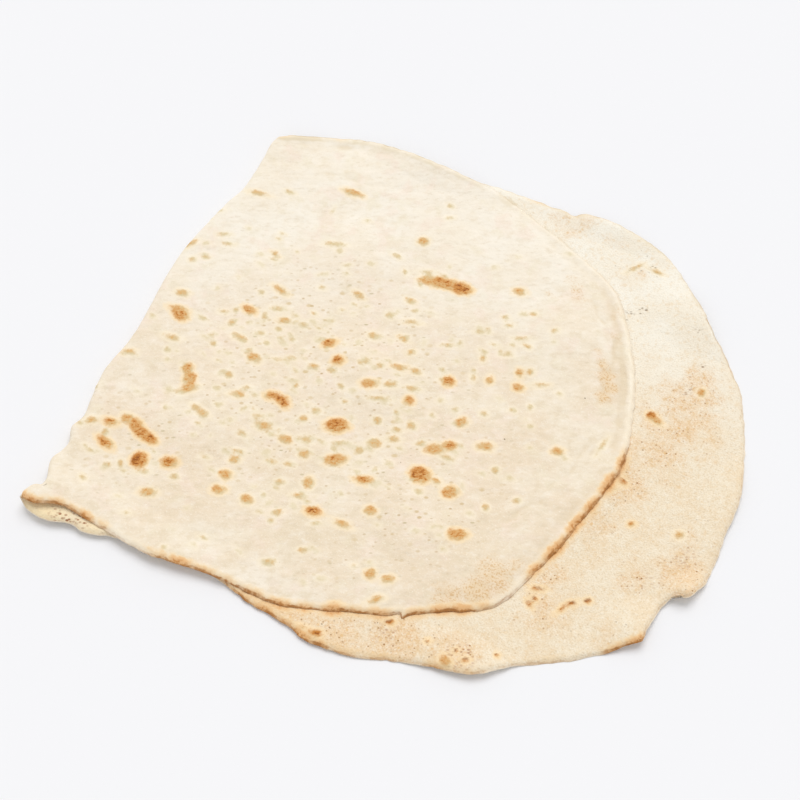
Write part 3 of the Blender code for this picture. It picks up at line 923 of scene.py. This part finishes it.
CREASES = [
    (-17.5, 11.5, -14.9, 12.9, 2.2, 0.35), (-14.9, 12.9, -11.5, 13.6, 2.4, 0.4),
    (-11.5, 13.6, -8.0, 14.8, 2.4, 0.3), (10.2, 1.6, 10.0, -0.4, 2.2, 0.6),
    (9.7, -1.0, 9.2, -3.2, 2.2, 0.6), (8.7, -3.8, 7.9, -5.6, 2.2, 0.6),
    (10.9, 2.6, 10.6, 0.6, 2.0, 0.5), (8.6, 9.8, 9.2, 7.6, 1.8, 0.5), (9.2, 7.6, 9.6, 4.8, 1.8, 0.5),
    (5.2, 12.6, 7.2, 10.6, 1.6, 0.4), (-9.2, 8.4, -5.5, 10.4, 3.0, 0.3),
]
CREASE_WANDER, CREASE_WANDER_SIZE, CREASE_BREAK_SIZE = 2.2, 9, 7
ROLL_CHANGE_SIZE = 14
FURROW_DEPTH, FURROW_SIZE, FURROW_SHARPNESS = 0.6, (6.5, 17), 0.24
FURROW_MIDDLE, FURROW_WIDTH = 9.0, 9.0
RIM_RADIUS = 150
CREASE_SHADE, FURROW_SHADE = 0.25, 0.5


def along_grain(points, sizes):
    """Points turned so that X runs along the grain, and divided by a size along and across it."""
    turned = np.column_stack([points[:, 0] * math.cos(GRAIN) + points[:, 1] * math.sin(GRAIN),
                              points[:, 1] * math.cos(GRAIN) - points[:, 0] * math.sin(GRAIN)])
    return turned / (np.array(sizes) * MM)


def bulge(middle, width):
    """A smooth bump across the rim, at a distance from it."""
    return np.exp(-((rim_at / MM - middle) / width) ** 2)


def creases_at(points, creases):
    """Depth of the creases in mm at each point: a soft, wandering furrow along each short line."""
    deepest = np.zeros(len(points))
    sideways = [noise_over(points, CREASE_WANDER_SIZE * MM, seed) for seed in (11, 12)]
    places = (points + np.column_stack(sideways) * CREASE_WANDER * MM) / CM
    for start_x, start_y, end_x, end_y, width, fall in creases:
        run = np.array([end_x - start_x, end_y - start_y])
        from_start = places - (start_x, start_y)
        share = np.clip(from_start @ run / (run @ run), 0, 1)
        away = np.linalg.norm(from_start - share[:, None] * run, axis=1) * 10 / width
        deepest = np.maximum(deepest, fall * np.exp(-away ** 2))
    return deepest


def furrows():
    """Depth of fine furrows that run beside the rim, where a noise crosses zero."""
    around = np.arctan2(plan_at[:, 1], plan_at[:, 0]) * RIM_RADIUS
    beside_rim = np.column_stack([rim_at / MM / FURROW_SIZE[0], around / FURROW_SIZE[1]])
    lines = np.exp(-(noise_over(beside_rim, 1.0, 21) / FURROW_SHARPNESS) ** 2)
    return FURROW_DEPTH * lines * bulge(FURROW_MIDDLE, FURROW_WIDTH)


rise = np.clip((mark_reach + BLISTER_SKIRT) / BLISTER_SLOPE, 0, 1)
blister = rise ** 2 * (3 - 2 * rise) * BLISTER_HEIGHT * (COOL_BLISTER + BLISTER_PER_HEAT * mark_heat)
wrinkles = noise_over(along_grain(plan_at, WRINKLE_SIZE), 1.0, 5) * WRINKLE_HEIGHT
grit = noise_over(plan_at, GRIT_SIZE * MM, 6) * GRIT_HEIGHT
roll_change = 0.7 + 0.6 * noise_over(plan_at, ROLL_CHANGE_SIZE * MM, 13)
roll_strength = places_at(plan_at, ROLLS) * on_upper * roll_change
broken = np.clip(0.7 + 1.2 * noise_over(plan_at, CREASE_BREAK_SIZE * MM, 22), 0, 1)
crease = creases_at(plan_at, CREASES) * on_upper * broken
furrow = furrows()
roll = roll_strength * (ROLL_HEIGHT * bulge(ROLL_MIDDLE, ROLL_WIDTH)
                        - DIP_DEPTH * bulge(DIP_MIDDLE, DIP_WIDTH) - furrow) - crease
# For the material the creases and furrows count deeper: it paints a highlight on the roll and shade in
# the dip, the furrows and the creases.
roll_light_and_shade = roll - CREASE_SHADE * crease - FURROW_SHADE * furrow * roll_strength
relief = np.where(on_upper & (depth == 0), blister + wrinkles + OUTER_GRIT * grit + roll, 0)
inner_relief = -(blister + INNER_WRINKLES * wrinkles + grit)
relief = np.where(~on_upper & (depth == 1), inner_relief, relief) * MM
print("relief, mm:", round(relief.min() / MM, 2), "to", round(relief.max() / MM, 2))

# %% [markdown]
# ## Rounding the rim
#
# Dough thins towards its rim and ends in a round lip. The thickness falls off in a parabola over the
# last millimetres, and the strips of the rim itself bulge outwards. The side that lies on something
# stays where it is, so the rim hugs what is under it.

# %% Final positions
ROUNDING = 2.8 * MM
THIN_RIM = (0.12, 0.4)
THIN_RIM_SIZE = 26 * MM
LIP_BULGE, ROLLED_LIP = 0.5 * MM, 0.6

rounding = np.clip(1 - rim_at / ROUNDING, 0, 1)
thin_rim = np.interp(noise_over(plan_at, THIN_RIM_SIZE, 14), (-0.5, 0.5), THIN_RIM)
fullness = thin_rim + (1 - thin_rim) * (1 - rounding ** 2)
through = np.where(on_upper, 1 - (1 - depth) * fullness, depth * fullness)
lip = np.where((depth > 0) & (depth < 1), LIP_BULGE * (1 + ROLLED_LIP * roll_strength), 0)
positions = (outer_at - normal_at * (THICKNESS * through - relief)[:, None] + rim_out_at * lip[:, None])
positions[:, 2] = np.maximum(positions[:, 2], 0)

lavash.vertices.foreach_set("co", positions.astype(np.float32).ravel())
lavash.update()
print("points at rest on the table:", int((positions[:, 2] == 0).sum()))

# %% [markdown]
# ## Values for the finishes
#
# The materials paint by what was worked out above: the reach into a mark, its heat, the distance to
# the rim and the rest. Each of these goes on the mesh as an attribute, one value for each point. Then
# all faces are turned outwards, and the mesh is checked to be closed.

# %% Attributes
# Some of these values also carry painted light and shade: the roll, the edge line, the far rim's band
# and the mouth.
painted_by = {"mark_reach": mark_reach, "mark_heat": mark_heat, "mark_side": mark_side,
              "rim_toast": rim_toast, "rim_line_and_shadow": rim_line_and_shadow, "rim_distance": toasted_at / MM,
              "rim_dry_and_shade": rim_dry_and_shade, "warmth": warmth, "crowd": crowd, "roll": roll_light_and_shade,
              "porous": porous, "mouth_light": mouth_light, "tone": tone}
for name, values in painted_by.items():
    layer = lavash.attributes.new(name, "FLOAT", "POINT")
    layer.data.foreach_set("value", values.astype(np.float32))
closed = bmesh.new()
closed.from_mesh(lavash)
bmesh.ops.recalc_face_normals(closed, faces=closed.faces[:])
print("closed:", all(len(edge.link_faces) == 2 for edge in closed.edges),
      "volume, cm3:", round(closed.calc_volume() * 1e6, 1))
closed.to_mesh(lavash)
closed.free()
lavash.shade_smooth()

# %% [markdown]
# ## Mixing the finishes
#
# A material is a chain of nodes. Writing each node out hides what it does, so a small helper adds one
# node for each step and hands its output to the next. It also keeps the paint that was laid so far,
# and each coat goes over that. All sizes in it are millimetres on the bread.

# %% A helper for material nodes
DOUGH_SHEEN = 0.3


class Finish:
    """One material. Most methods add nodes and return the output that the next step reads."""

    def __init__(self, name):
        self.material = bpy.data.materials.new(name)
        self.material.use_nodes = True
        self.tree = self.material.node_tree
        self.shader = self.tree.nodes["Principled BSDF"]
        position = self.add("ShaderNodeTexCoord").outputs["Object"]
        self.place = self.with_vector("MULTIPLY", position, (1 / MM, 1 / MM, 1 / MM))
        self.paint = None

    def feed(self, socket, value):
        if isinstance(value, bpy.types.NodeSocket):
            self.tree.links.new(value, socket)
        else:
            socket.default_value = value

    def add(self, kind, **values):
        node = self.tree.nodes.new(kind)
        for name, value in values.items():
            self.feed(node.inputs[name.replace("_", " ")], value)
        return node

    def with_vector(self, operation, vector, constant):
        node = self.add("ShaderNodeVectorMath")
        node.operation = operation
        self.feed(node.inputs[0], vector)
        node.inputs[1].default_value = constant
        return node.outputs["Vector"]

    def along_grain(self, stretch):
        """Places turned so that X runs along the grain, where patterns are stretched."""
        turned = self.add("ShaderNodeVectorRotate", Vector=self.place, Angle=-GRAIN)
        return self.with_vector("MULTIPLY", turned.outputs["Vector"], (1 / stretch, 1, 1))

    def across_grain(self):
        """How far a point lies from the middle across the grain, towards the back of the table."""
        node = self.add("ShaderNodeVectorMath")
        node.operation = "DOT_PRODUCT"
        self.feed(node.inputs[0], self.place)
        node.inputs[1].default_value = (-math.sin(GRAIN), math.cos(GRAIN), 0)
        return node.outputs["Value"]

    def noise(self, size, detail=2.0, place=None):
        place = self.place if place is None else place
        return self.add("ShaderNodeTexNoise", Vector=place, Scale=1 / size, Detail=detail).outputs["Fac"]

    def wander(self, size, detail=2.0):
        """Noise around zero."""
        return self.sum(self.noise(size, detail), (-0.5, 1.0))

    def shaken(self, value, *waves):
        """The value with noise added. Each wave has a strength, a size and perhaps a detail."""
        return self.sum(value, *((self.wander(*wave), strength) for strength, *wave in waves))

    def value(self, name):
        node = self.add("ShaderNodeAttribute")
        node.attribute_name = name
        return node.outputs["Fac"]

    def step(self, value, low, high, result_low=0.0, result_high=1.0):
        """One result below the low value, another above the high one, and a smooth change between."""
        node = self.add("ShaderNodeMapRange", Value=value, From_Min=low, From_Max=high,
                        To_Min=result_low, To_Max=result_high)
        node.interpolation_type = "SMOOTHSTEP"
        return node.outputs["Result"]

    def sum(self, total, *parts):
        """The first value plus each of the others times its share."""
        for part, share in parts:
            node = self.add("ShaderNodeMath")
            node.operation = "MULTIPLY_ADD"
            for socket, value in zip(node.inputs, (part, share, total)):
                self.feed(socket, value)
            total = node.outputs["Value"]
        return total

    def product(self, result, *factors):
        for factor in factors:
            node = self.add("ShaderNodeMath")
            node.operation = "MULTIPLY"
            self.feed(node.inputs[0], result)
            self.feed(node.inputs[1], factor)
            result = node.outputs["Value"]
        return result

    def mix(self, share, under, over):
        node = self.tree.nodes.new("ShaderNodeMix")
        node.data_type = "RGBA"
        self.feed(node.inputs["Factor"], share)
        self.feed(node.inputs[6], under)
        self.feed(node.inputs[7], over)
        return node.outputs[2]

    def coat(self, share, colour):
        """Lay a colour over the paint, as thickly as the share says."""
        self.paint = self.mix(share, self.paint, colour)

    def wash(self, value, start, full, strength, colour):
        """Lay a colour over the paint, from where the value starts it to where it is full."""
        self.coat(self.step(value, start, full, 0.0, strength), colour)

    def ramp(self, value, *stops):
        node = self.add("ShaderNodeValToRGB", Fac=value)
        elements = node.color_ramp.elements
        elements[0].position, elements[0].color = stops[0]
        elements[1].position, elements[1].color = stops[-1]
        for position, colour in stops[1:-1]:
            elements.new(position).color = colour
        return node.outputs["Color"]

    def complete(self, roughness, height, distance):
        """Hand the paint, the roughness and the bumps to the shader."""
        bump = self.add("ShaderNodeBump", Height=height, Distance=distance * MM)
        self.feed(self.shader.inputs["Base Color"], self.paint)
        self.feed(self.shader.inputs["Roughness"], roughness)
        self.feed(self.shader.inputs["Normal"], bump.outputs["Normal"])
        self.shader.inputs["Specular IOR Level"].default_value = DOUGH_SHEEN
        return self.material


print("finish helper ready")

# %% [markdown]
# ## Painting the marks
#
# Both faces of the bread carry scorch marks, so both finishes share this step. The reach into a mark
# is roughened a little with noise before it is cut off, and a yellowish halo surrounds the hotter
# ones. A mark is darker in its middle and towards one side, with burnt and gilt streaks along the
# grain. Where its skin wrinkled there are burnt lines: a noise crosses its middle value there, so its
# square is small. The colour follows the heat, from a greyish tan through gold to dark brown.

# %% Marks
SCORCH = [(0.0, shade(231, 217, 184)), (0.15, shade(221, 204, 164)), (0.28, shade(219, 192, 145)),
          (0.42, shade(221, 180, 122)), (0.58, shade(213, 156, 90)), (0.76, shade(196, 124, 46)),
          (1.0, shade(148, 82, 14))]
PALE_HALO, GOLDEN_HALO = shade(253, 240, 213), shade(251, 224, 180)


def paint_marks(finish):
    """Paint the marks, and return how well they cover the crust."""
    heat = finish.value("mark_heat")
    reach = finish.shaken(finish.value("mark_reach"), (2.8, 5.0), (2.0, 1.8))
    halo = finish.product(finish.step(reach, -3.2, 0.0), finish.step(heat, 0.1, 0.8, 0.35, 0.95))
    finish.coat(halo, finish.mix(finish.step(heat, 0.35, 0.85), PALE_HALO, GOLDEN_HALO))
    core = finish.step(reach, 0.0, 3.0)
    streaks = finish.noise(1.5, 3, finish.along_grain(1.7))
    burnt = finish.product(finish.step(streaks, 0.5, 0.68), finish.step(reach, 0.0, 2.0),
                           finish.step(heat, 0.4, 0.85, 0.55, 1.0))
    gilt = finish.product(finish.step(streaks, 0.47, 0.33), core)
    off_middle = finish.wander(2.8)
    squiggles = finish.product(finish.step(finish.product(off_middle, off_middle), 0.004, 0.0), core)
    baked = finish.sum(0.6, (finish.value("mark_side"), 0.22), (core, 0.1), (burnt, 0.38),
                       (squiggles, 0.19), (gilt, -0.12))
    baked = finish.sum(finish.product(heat, baked), (burnt, 0.05), (finish.wander(3.0), 0.45))
    cover = finish.product(finish.step(reach, -1.2, 1.2), finish.step(heat, 0.02, 0.35, 0.65, 1.0))
    finish.coat(cover, finish.ramp(baked, *SCORCH))
    return cover


print("heat colours:", len(SCORCH))

# %% [markdown]
# ## Painting the rims
#
# A toasted rim has a soft glow over its last few millimetres, yellow where it is weak and golden where
# it is strong, and the driest parts are scorched. The very edge is a thin brown line of varying width,
# broken into dashes: browned dough and painted shadow of the rim's edge and the gap under it. It fades
# towards the back. Parts of the far rim get a tan band, wider on the outer face than on the inner one:
# dried dough and painted shade, which darkens the rolled far rim where the window light falls on it.

# %% Rims
DRY_TAN_AND_SHADE, DRY_EDGE_AND_SHADE = shade(231, 216, 187), shade(216, 198, 166)
WEAK_GLOW, STRONG_GLOW = shade(244, 214, 168), shade(234, 182, 122)
SCORCHED_RIM, EDGE_LINE_AND_SHADOW = shade(196, 130, 64), shade(174, 116, 60)


def paint_rim(finish, edge_strength, dry_and_shade_width):
    from_rim = finish.value("rim_distance")
    # The tan band: dried dough and painted shade, darkening the far rim where the window light falls on
    # it.
    in_band = finish.step(finish.shaken(from_rim, (3.0, 7.0)), dry_and_shade_width + 1, dry_and_shade_width - 1)
    dry_and_shade = finish.product(in_band, finish.value("rim_dry_and_shade"),
                         finish.step(finish.noise(11.0), 0.36, 0.58, 0.25, 1.0), 0.85)
    finish.coat(dry_and_shade, finish.mix(finish.step(from_rim, 1.4, 0.2), DRY_TAN_AND_SHADE, DRY_EDGE_AND_SHADE))
    toast = finish.value("rim_toast")
    inwards = finish.shaken(from_rim, (4.0, 4.0), (2.5, 1.8))
    glow = finish.product(toast, finish.step(inwards, 7.4, 0.8))
    finish.wash(glow, 0.04, 0.6, 0.9, finish.mix(finish.step(glow, 0.3, 0.85), WEAK_GLOW, STRONG_GLOW))
    scorched = finish.product(finish.step(toast, 0.35, 0.9), finish.step(inwards, 2.6, 0.2),
                              finish.step(finish.noise(2.2), 0.45, 0.6), 0.9)
    finish.coat(scorched, SCORCHED_RIM)
    # The edge line: browned dough and painted shadow of the rim's edge and the gap under it, fading
    # towards the back.
    edge = finish.step(finish.shaken(from_rim, (1.3, 2.4), (3.0, 9.0)), 1.15, 0.25)
    broken = finish.step(finish.noise(4.0), 0.38, 0.58, 0.45, 1.0)
    line = finish.product(finish.step(finish.value("rim_line_and_shadow"), 0.0, 0.8, edge_strength, 0.95),
                          finish.step(finish.across_grain(), 60, 130, 1.0, 0.2))
    finish.coat(finish.product(edge, broken, line), EDGE_LINE_AND_SHADOW)


print("edge line as shaders see it:", [round(value, 2) for value in EDGE_LINE_AND_SHADOW[:3]])

# %% [markdown]
# ## Creams of the outer crust
#
# The outer face is smooth and cream-coloured. It is painted lighter towards the back, as painted light
# from the window behind, so each cream here has a near colour and a lighter far one. Large soft patches
# are pinkish or greenish, and it is a little browner where the marks crowd. The pale and dull places
# from above shift it once more.

# %% Creams
CRUST_CREAM_WITH_BACK_LIGHT = (shade(241, 228, 206), shade(246, 238, 223))
CRUST_WARM_WITH_BACK_LIGHT = (shade(237, 219, 193), shade(245, 234, 215))
MILKY, DULL_CREAM, BROWNED_CREAM = shade(247, 238, 223), shade(231, 213, 184), shade(240, 222, 197)
PINKISH, GREENISH = shade(243, 223, 205), shade(236, 224, 196)
ELSEWHERE = (210, 40, 0)


def paint_creams(finish, painted_back_light):
    # Painted light: the far colour of each cream is lighter, as if lit by the window behind.
    finish.paint = finish.mix(finish.step(finish.noise(42, 3), 0.38, 0.62),
                              finish.mix(painted_back_light, *CRUST_CREAM_WITH_BACK_LIGHT), finish.mix(painted_back_light, *CRUST_WARM_WITH_BACK_LIGHT))
    tone = finish.shaken(finish.value("tone"), (0.9, 9.0, 3))
    finish.wash(tone, 0.1, 0.9, 0.7, MILKY)
    finish.wash(tone, -0.1, -0.9, 0.75, DULL_CREAM)
    finish.wash(finish.value("crowd"), 0.25, 1.0, 0.55, BROWNED_CREAM)
    finish.wash(finish.noise(15, 2), 0.52, 0.7, 0.5, PINKISH)
    shifted = finish.with_vector("ADD", finish.place, ELSEWHERE)
    finish.wash(finish.noise(13, 2, shifted), 0.54, 0.72, 0.4, GREENISH)


print("the far cream is lighter by:", round(CRUST_CREAM_WITH_BACK_LIGHT[1][1] - CRUST_CREAM_WITH_BACK_LIGHT[0][1], 3))

# %% [markdown]
# ## Grain and warmth of the outer crust
#
# Stretched dough has a faint grain: dull and light streaks of a few millimetres, and finer ones over
# them, with a dusting of flour. The roll along the rim gets a painted highlight, and the dip behind it,
# the furrows and the creases a painted shade. The warm places are golden with a sandy pattern of
# darker grains.

# %% Grain and warmth
DULL_STREAK, LIGHT_STREAK = shade(229, 212, 184), shade(251, 242, 228)
FINE_DULL, FINE_LIGHT, FLOUR = shade(224, 208, 183), shade(250, 241, 226), shade(254, 246, 231)
ROLL_PAINTED_HIGHLIGHT, DIP_PAINTED_SHADE = shade(253, 244, 230), shade(226, 207, 176)
WARM_GOLD, SANDY_BROWN = shade(236, 204, 158), shade(212, 168, 108)


def paint_grain(finish, painted_back_light):
    mottle = finish.noise(6.5, 3, finish.along_grain(1.3))
    # The dull streaks fade towards the back with that painted light.
    dull = finish.product(finish.step(mottle, 0.5, 0.7), finish.step(painted_back_light, 0.0, 1.0, 0.6, 0.25))
    finish.coat(dull, DULL_STREAK)
    finish.wash(mottle, 0.48, 0.3, 0.3, LIGHT_STREAK)
    fine_lines = finish.noise(2.2, 4, finish.along_grain(2.0))
    finish.wash(fine_lines, 0.52, 0.76, 0.4, FINE_DULL)
    finish.wash(fine_lines, 0.46, 0.28, 0.28, FINE_LIGHT)
    finish.wash(finish.noise(1.0, 3), 0.52, 0.8, 0.6, FLOUR)


def paint_warmth(finish):
    roll = finish.value("roll")
    # Painted highlight on the roll, and painted shade in its dip, furrows and creases.
    finish.wash(roll, 0.1, 0.6, 0.7, ROLL_PAINTED_HIGHLIGHT)
    finish.wash(roll, -0.1, -0.9, 0.6, DIP_PAINTED_SHADE)
    warm = finish.shaken(finish.value("warmth"), (1.1, 7, 4))
    finish.wash(warm, 0.15, 1.0, 0.5, WARM_GOLD)
    grains = finish.step(finish.noise(1.2, 3), 0.47, 0.66)
    finish.coat(finish.product(finish.step(warm, 0.1, 0.8), grains, 0.65), SANDY_BROWN)


print("sandy brown as shaders see it:", [round(value, 2) for value in SANDY_BROWN[:3]])

# %% [markdown]
# ## Freckles
#
# Thin greyish dashes and pale tan freckles run along the grain, most of them where the scorch marks
# crowd. A Voronoi pattern has one point in each cell, and a dot round that point in some of the cells
# makes freckles. Each kind has its stretch along the grain, the size of a cell, the radius of a dot,
# the share of cells with a dot, a number that shifts the pattern, how it follows the crowded places,
# and its colour.

# %% Freckles
PATTERN_STEP = (37.0, 11.0)
CHOICE_SOFTNESS = 0.02
DOT_CORE, DOT_EDGE = 0.45, 1.2
FAINTEST_DOT = 0.45
IN_THE_CROWD = (0.4, 0.95, 0.08, 1.0)
FRECKLES = [
    (2.2, 5.0, 0.75, 0.5, 1, (0.3, 1.0, 0.2, 1.0), shade(198, 183, 146)),
    (2.2, 3.0, 0.45, 0.4, 6, (0.3, 1.0, 0.15, 0.85), shade(208, 190, 158)),
    (1.5, 7.5, 1.5, 0.55, 2, IN_THE_CROWD, shade(220, 196, 152)),
    (1.5, 5.2, 1.1, 0.7, 9, IN_THE_CROWD, shade(213, 188, 146)),
    (1.5, 4.2, 0.8, 0.75, 10, IN_THE_CROWD, shade(204, 178, 140)),
]


def dots(finish, place, size, radius, share, seed):
    """How well soft dots cover each point, in a share of the cells of a Voronoi pattern."""
    step_x, step_y = PATTERN_STEP
    shifted = finish.with_vector("ADD", place, (seed * step_x, seed * step_y, 0))
    cells = finish.add("ShaderNodeTexVoronoi", Vector=shifted, Scale=1 / size)
    drawn = finish.add("ShaderNodeSeparateColor", Color=cells.outputs["Color"])
    chosen = finish.step(drawn.outputs["Red"], 1 - share, 1 - share + CHOICE_SOFTNESS)
    core, edge = radius * DOT_CORE / size, radius * DOT_EDGE / size
    dot = finish.step(cells.outputs["Distance"], core, edge, 1.0, 0.0)
    return finish.product(dot, chosen, finish.step(drawn.outputs["Green"], 0.0, 1.0, FAINTEST_DOT, 1.0))


def paint_freckles(finish):
    crowd = finish.value("crowd")
    for stretch, size, radius, share, seed, crowding, colour in FRECKLES:
        freckles = dots(finish, finish.along_grain(stretch), size, radius, share, seed)
        finish.coat(finish.product(freckles, finish.step(crowd, *crowding)), colour)


print("kinds of freckles:", len(FRECKLES))

# %% [markdown]
# ## The outer crust
#
# The coats go on in the order in which they come about in the oven: dough, grain, browning, freckles
# and marks. A few pinholes go through the skin. On the near side the last millimetres beside the rim
# get painted light, a light ivory that brightens the rounded rim where it turns away from the window,
# before the rim itself is painted. A scorched skin is a little glossier than a plain one.

# %% Outer crust
PINHOLE, FRONT_RIM_PAINTED_LIGHT = shade(140, 116, 84), shade(255, 243, 220)


def outer_crust():
    finish = Finish("outer_crust")
    # Painted light: a share that grows towards the back, where the crust is painted lighter.
    painted_back_light = finish.step(finish.across_grain(), -10, 130)
    paint_creams(finish, painted_back_light)
    paint_grain(finish, painted_back_light)
    paint_warmth(finish)
    paint_freckles(finish)
    pinholes = dots(finish, finish.place, 17.0, 0.55, 0.5, 3)
    finish.coat(finish.product(pinholes, 0.85), PINHOLE)
    cover = paint_marks(finish)
    # Painted light: a light ivory beside the near rim, which the window behind leaves in shade.
    front_rim_light = finish.step(finish.value("rim_distance"), 6.0, 0.8, 0.0, 0.6)
    finish.coat(finish.product(front_rim_light, finish.step(painted_back_light, 1.0, 0.2)), FRONT_RIM_PAINTED_LIGHT)
    paint_rim(finish, edge_strength=0.12, dry_and_shade_width=4.6)
    height = finish.sum(finish.noise(3.2, 4, finish.along_grain(1.8)),
                        (finish.noise(0.8, 2), 0.3), (pinholes, -0.6))
    return finish.complete(finish.step(cover, 0.0, 1.0, 0.82, 0.62), height, 0.5)


crust = outer_crust()
print("nodes in the crust:", len(crust.node_tree.nodes))

# %% [markdown]
# ## The inner face
#
# The inner face never touched the oven. It stays open and sandy: a grain of about a millimetre,
# pinkish ochre patches where it is driest, brown specks of bran and small dark pores, which are
# densest in the same patches. A few spots are full of small holes. The mouth of the fold gets painted
# light, a pale yellow where the upper flap shades it, and the whole face is painted lighter towards
# the back, as if lit by the window behind, with fewer bran specks there.

# %% Inner face
CRUMB_CREAM_WITH_BACK_LIGHT = (shade(242, 227, 201), shade(248, 242, 228))
CRUMB_WARM_WITH_BACK_LIGHT = (shade(240, 221, 191), shade(246, 237, 219))
OCHRE, COARSE_OCHRE, LIGHT_CRUMB = shade(238, 202, 156), shade(230, 197, 150), shade(250, 239, 219)
SAND_DARK, SAND_PALE = shade(219, 198, 164), shade(253, 245, 228)
TOASTED_CRUMB, GOLDEN_CRUMB = shade(218, 172, 120), shade(229, 186, 124)
BRAN, PORE, MOUTH_PAINTED_LIGHT = shade(170, 124, 76), shade(130, 96, 62), shade(252, 231, 188)
HOLE_BROWNS = (shade(164, 104, 66), shade(150, 132, 110))


def paint_crumb(finish, painted_back_light, patch, sand):
    # Painted light: the far colour of each crumb cream is lighter, as if lit by the window behind.
    finish.paint = finish.mix(finish.step(finish.noise(24, 3), 0.4, 0.62),
                              finish.mix(painted_back_light, *CRUMB_CREAM_WITH_BACK_LIGHT), finish.mix(painted_back_light, *CRUMB_WARM_WITH_BACK_LIGHT))
    finish.coat(finish.product(patch, 0.6), OCHRE)
    coarse = finish.noise(3.2, 3)
    finish.coat(finish.product(finish.step(coarse, 0.52, 0.7), finish.step(patch, 0.0, 0.9, 0.3, 0.85)),
                COARSE_OCHRE)
    finish.wash(coarse, 0.46, 0.3, 0.45, LIGHT_CRUMB)
    finish.coat(finish.product(finish.step(sand, 0.5, 0.75), finish.step(painted_back_light, 0.0, 1.0, 0.55, 0.22)),
                SAND_DARK)
    finish.wash(sand, 0.48, 0.28, 0.5, SAND_PALE)
    crumbs = finish.step(finish.noise(1.3, 3), 0.5, 0.68)
    finish.coat(finish.product(crumbs, finish.step(patch, 0.0, 0.9, 0.03, 0.6)), TOASTED_CRUMB)


def inner_crumb():
    finish = Finish("inner_crumb")
    # Painted light: a share that grows towards the back, where the crumb is painted lighter.
    painted_back_light = finish.step(finish.across_grain(), -70, 90)
    patch = finish.step(finish.shaken(finish.value("warmth"), (1.2, 8, 4)), 0.1, 1.0)
    sand = finish.noise(1.1, 2)
    paint_crumb(finish, painted_back_light, patch, sand)
    golden = dots(finish, finish.place, 4.2, 1.1, 0.4, 7)
    finish.coat(finish.product(golden, finish.step(patch, 0.0, 0.8, 0.2, 0.6)), GOLDEN_CRUMB)
    bran = dots(finish, finish.place, 2.8, 0.7, 0.52, 4)
    finish.coat(finish.product(bran, finish.step(painted_back_light, 0.0, 1.0, 1.0, 0.2),
                               finish.step(patch, 0.0, 0.7, 0.2, 1.0)), BRAN)
    pores = dots(finish, finish.place, 5.5, 0.55, 0.35, 5)
    finish.coat(finish.product(pores, finish.step(patch, 0.0, 0.9, 0.2, 1.0)), PORE)
    # Painted light: the mouth of the fold, in the upper flap's shade, is brightened to a pale yellow.
    finish.coat(finish.product(finish.value("mouth_light"), 0.9), MOUTH_PAINTED_LIGHT)
    holes = finish.product(dots(finish, finish.along_grain(1.5), 1.9, 0.8, 0.85, 8),
                           finish.step(finish.value("porous"), 0.1, 0.7))
    finish.coat(holes, finish.mix(painted_back_light, *HOLE_BROWNS))
    cover = paint_marks(finish)
    paint_rim(finish, edge_strength=0.2, dry_and_shade_width=2.4)
    height = finish.sum(finish.product(sand, -1.0), (finish.noise(4.5, 2), 0.6),
                        (pores, -0.5), (holes, -0.3))
    return finish.complete(finish.step(cover, 0.0, 1.0, 0.88, 0.68), height, 0.52)


crumb = inner_crumb()
print("nodes in the crumb:", len(crumb.node_tree.nodes))

# %% [markdown]
# ## A finish for each face
#
# A face of the mesh gets the crumb when all its corners lie on the inner side of the dough, and the
# crust everywhere else, so the crust wraps round the rim.

# %% Finish for each face
INNER_SIDE = 0.99
lavash.materials.append(crust)
lavash.materials.append(crumb)
on_inner_side = (depth > INNER_SIDE).astype(np.int32)
corners = np.empty(len(lavash.loops), dtype=np.int32)
lavash.loops.foreach_get("vertex_index", corners)
starts = np.empty(len(lavash.polygons), dtype=np.int32)
lavash.polygons.foreach_get("loop_start", starts)
all_inner = np.minimum.reduceat(on_inner_side[corners], starts)
lavash.polygons.foreach_set("material_index", all_inner)
print("faces of the inner side:", int(all_inner.sum()), "of", len(all_inner))

# %% [markdown]
# ## Handing over to the frame
#
# The finished bread takes the place of the plain CAD sheet, which stays in the simulation only.

# %% Attach the bread
bread = bpy.data.objects.new("baked_lavash", lavash)
bpy.context.collection.objects.link(bread)
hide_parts(NODE)
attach(bread, "root")
print("the bread has", len(bread.material_slots), "finishes")
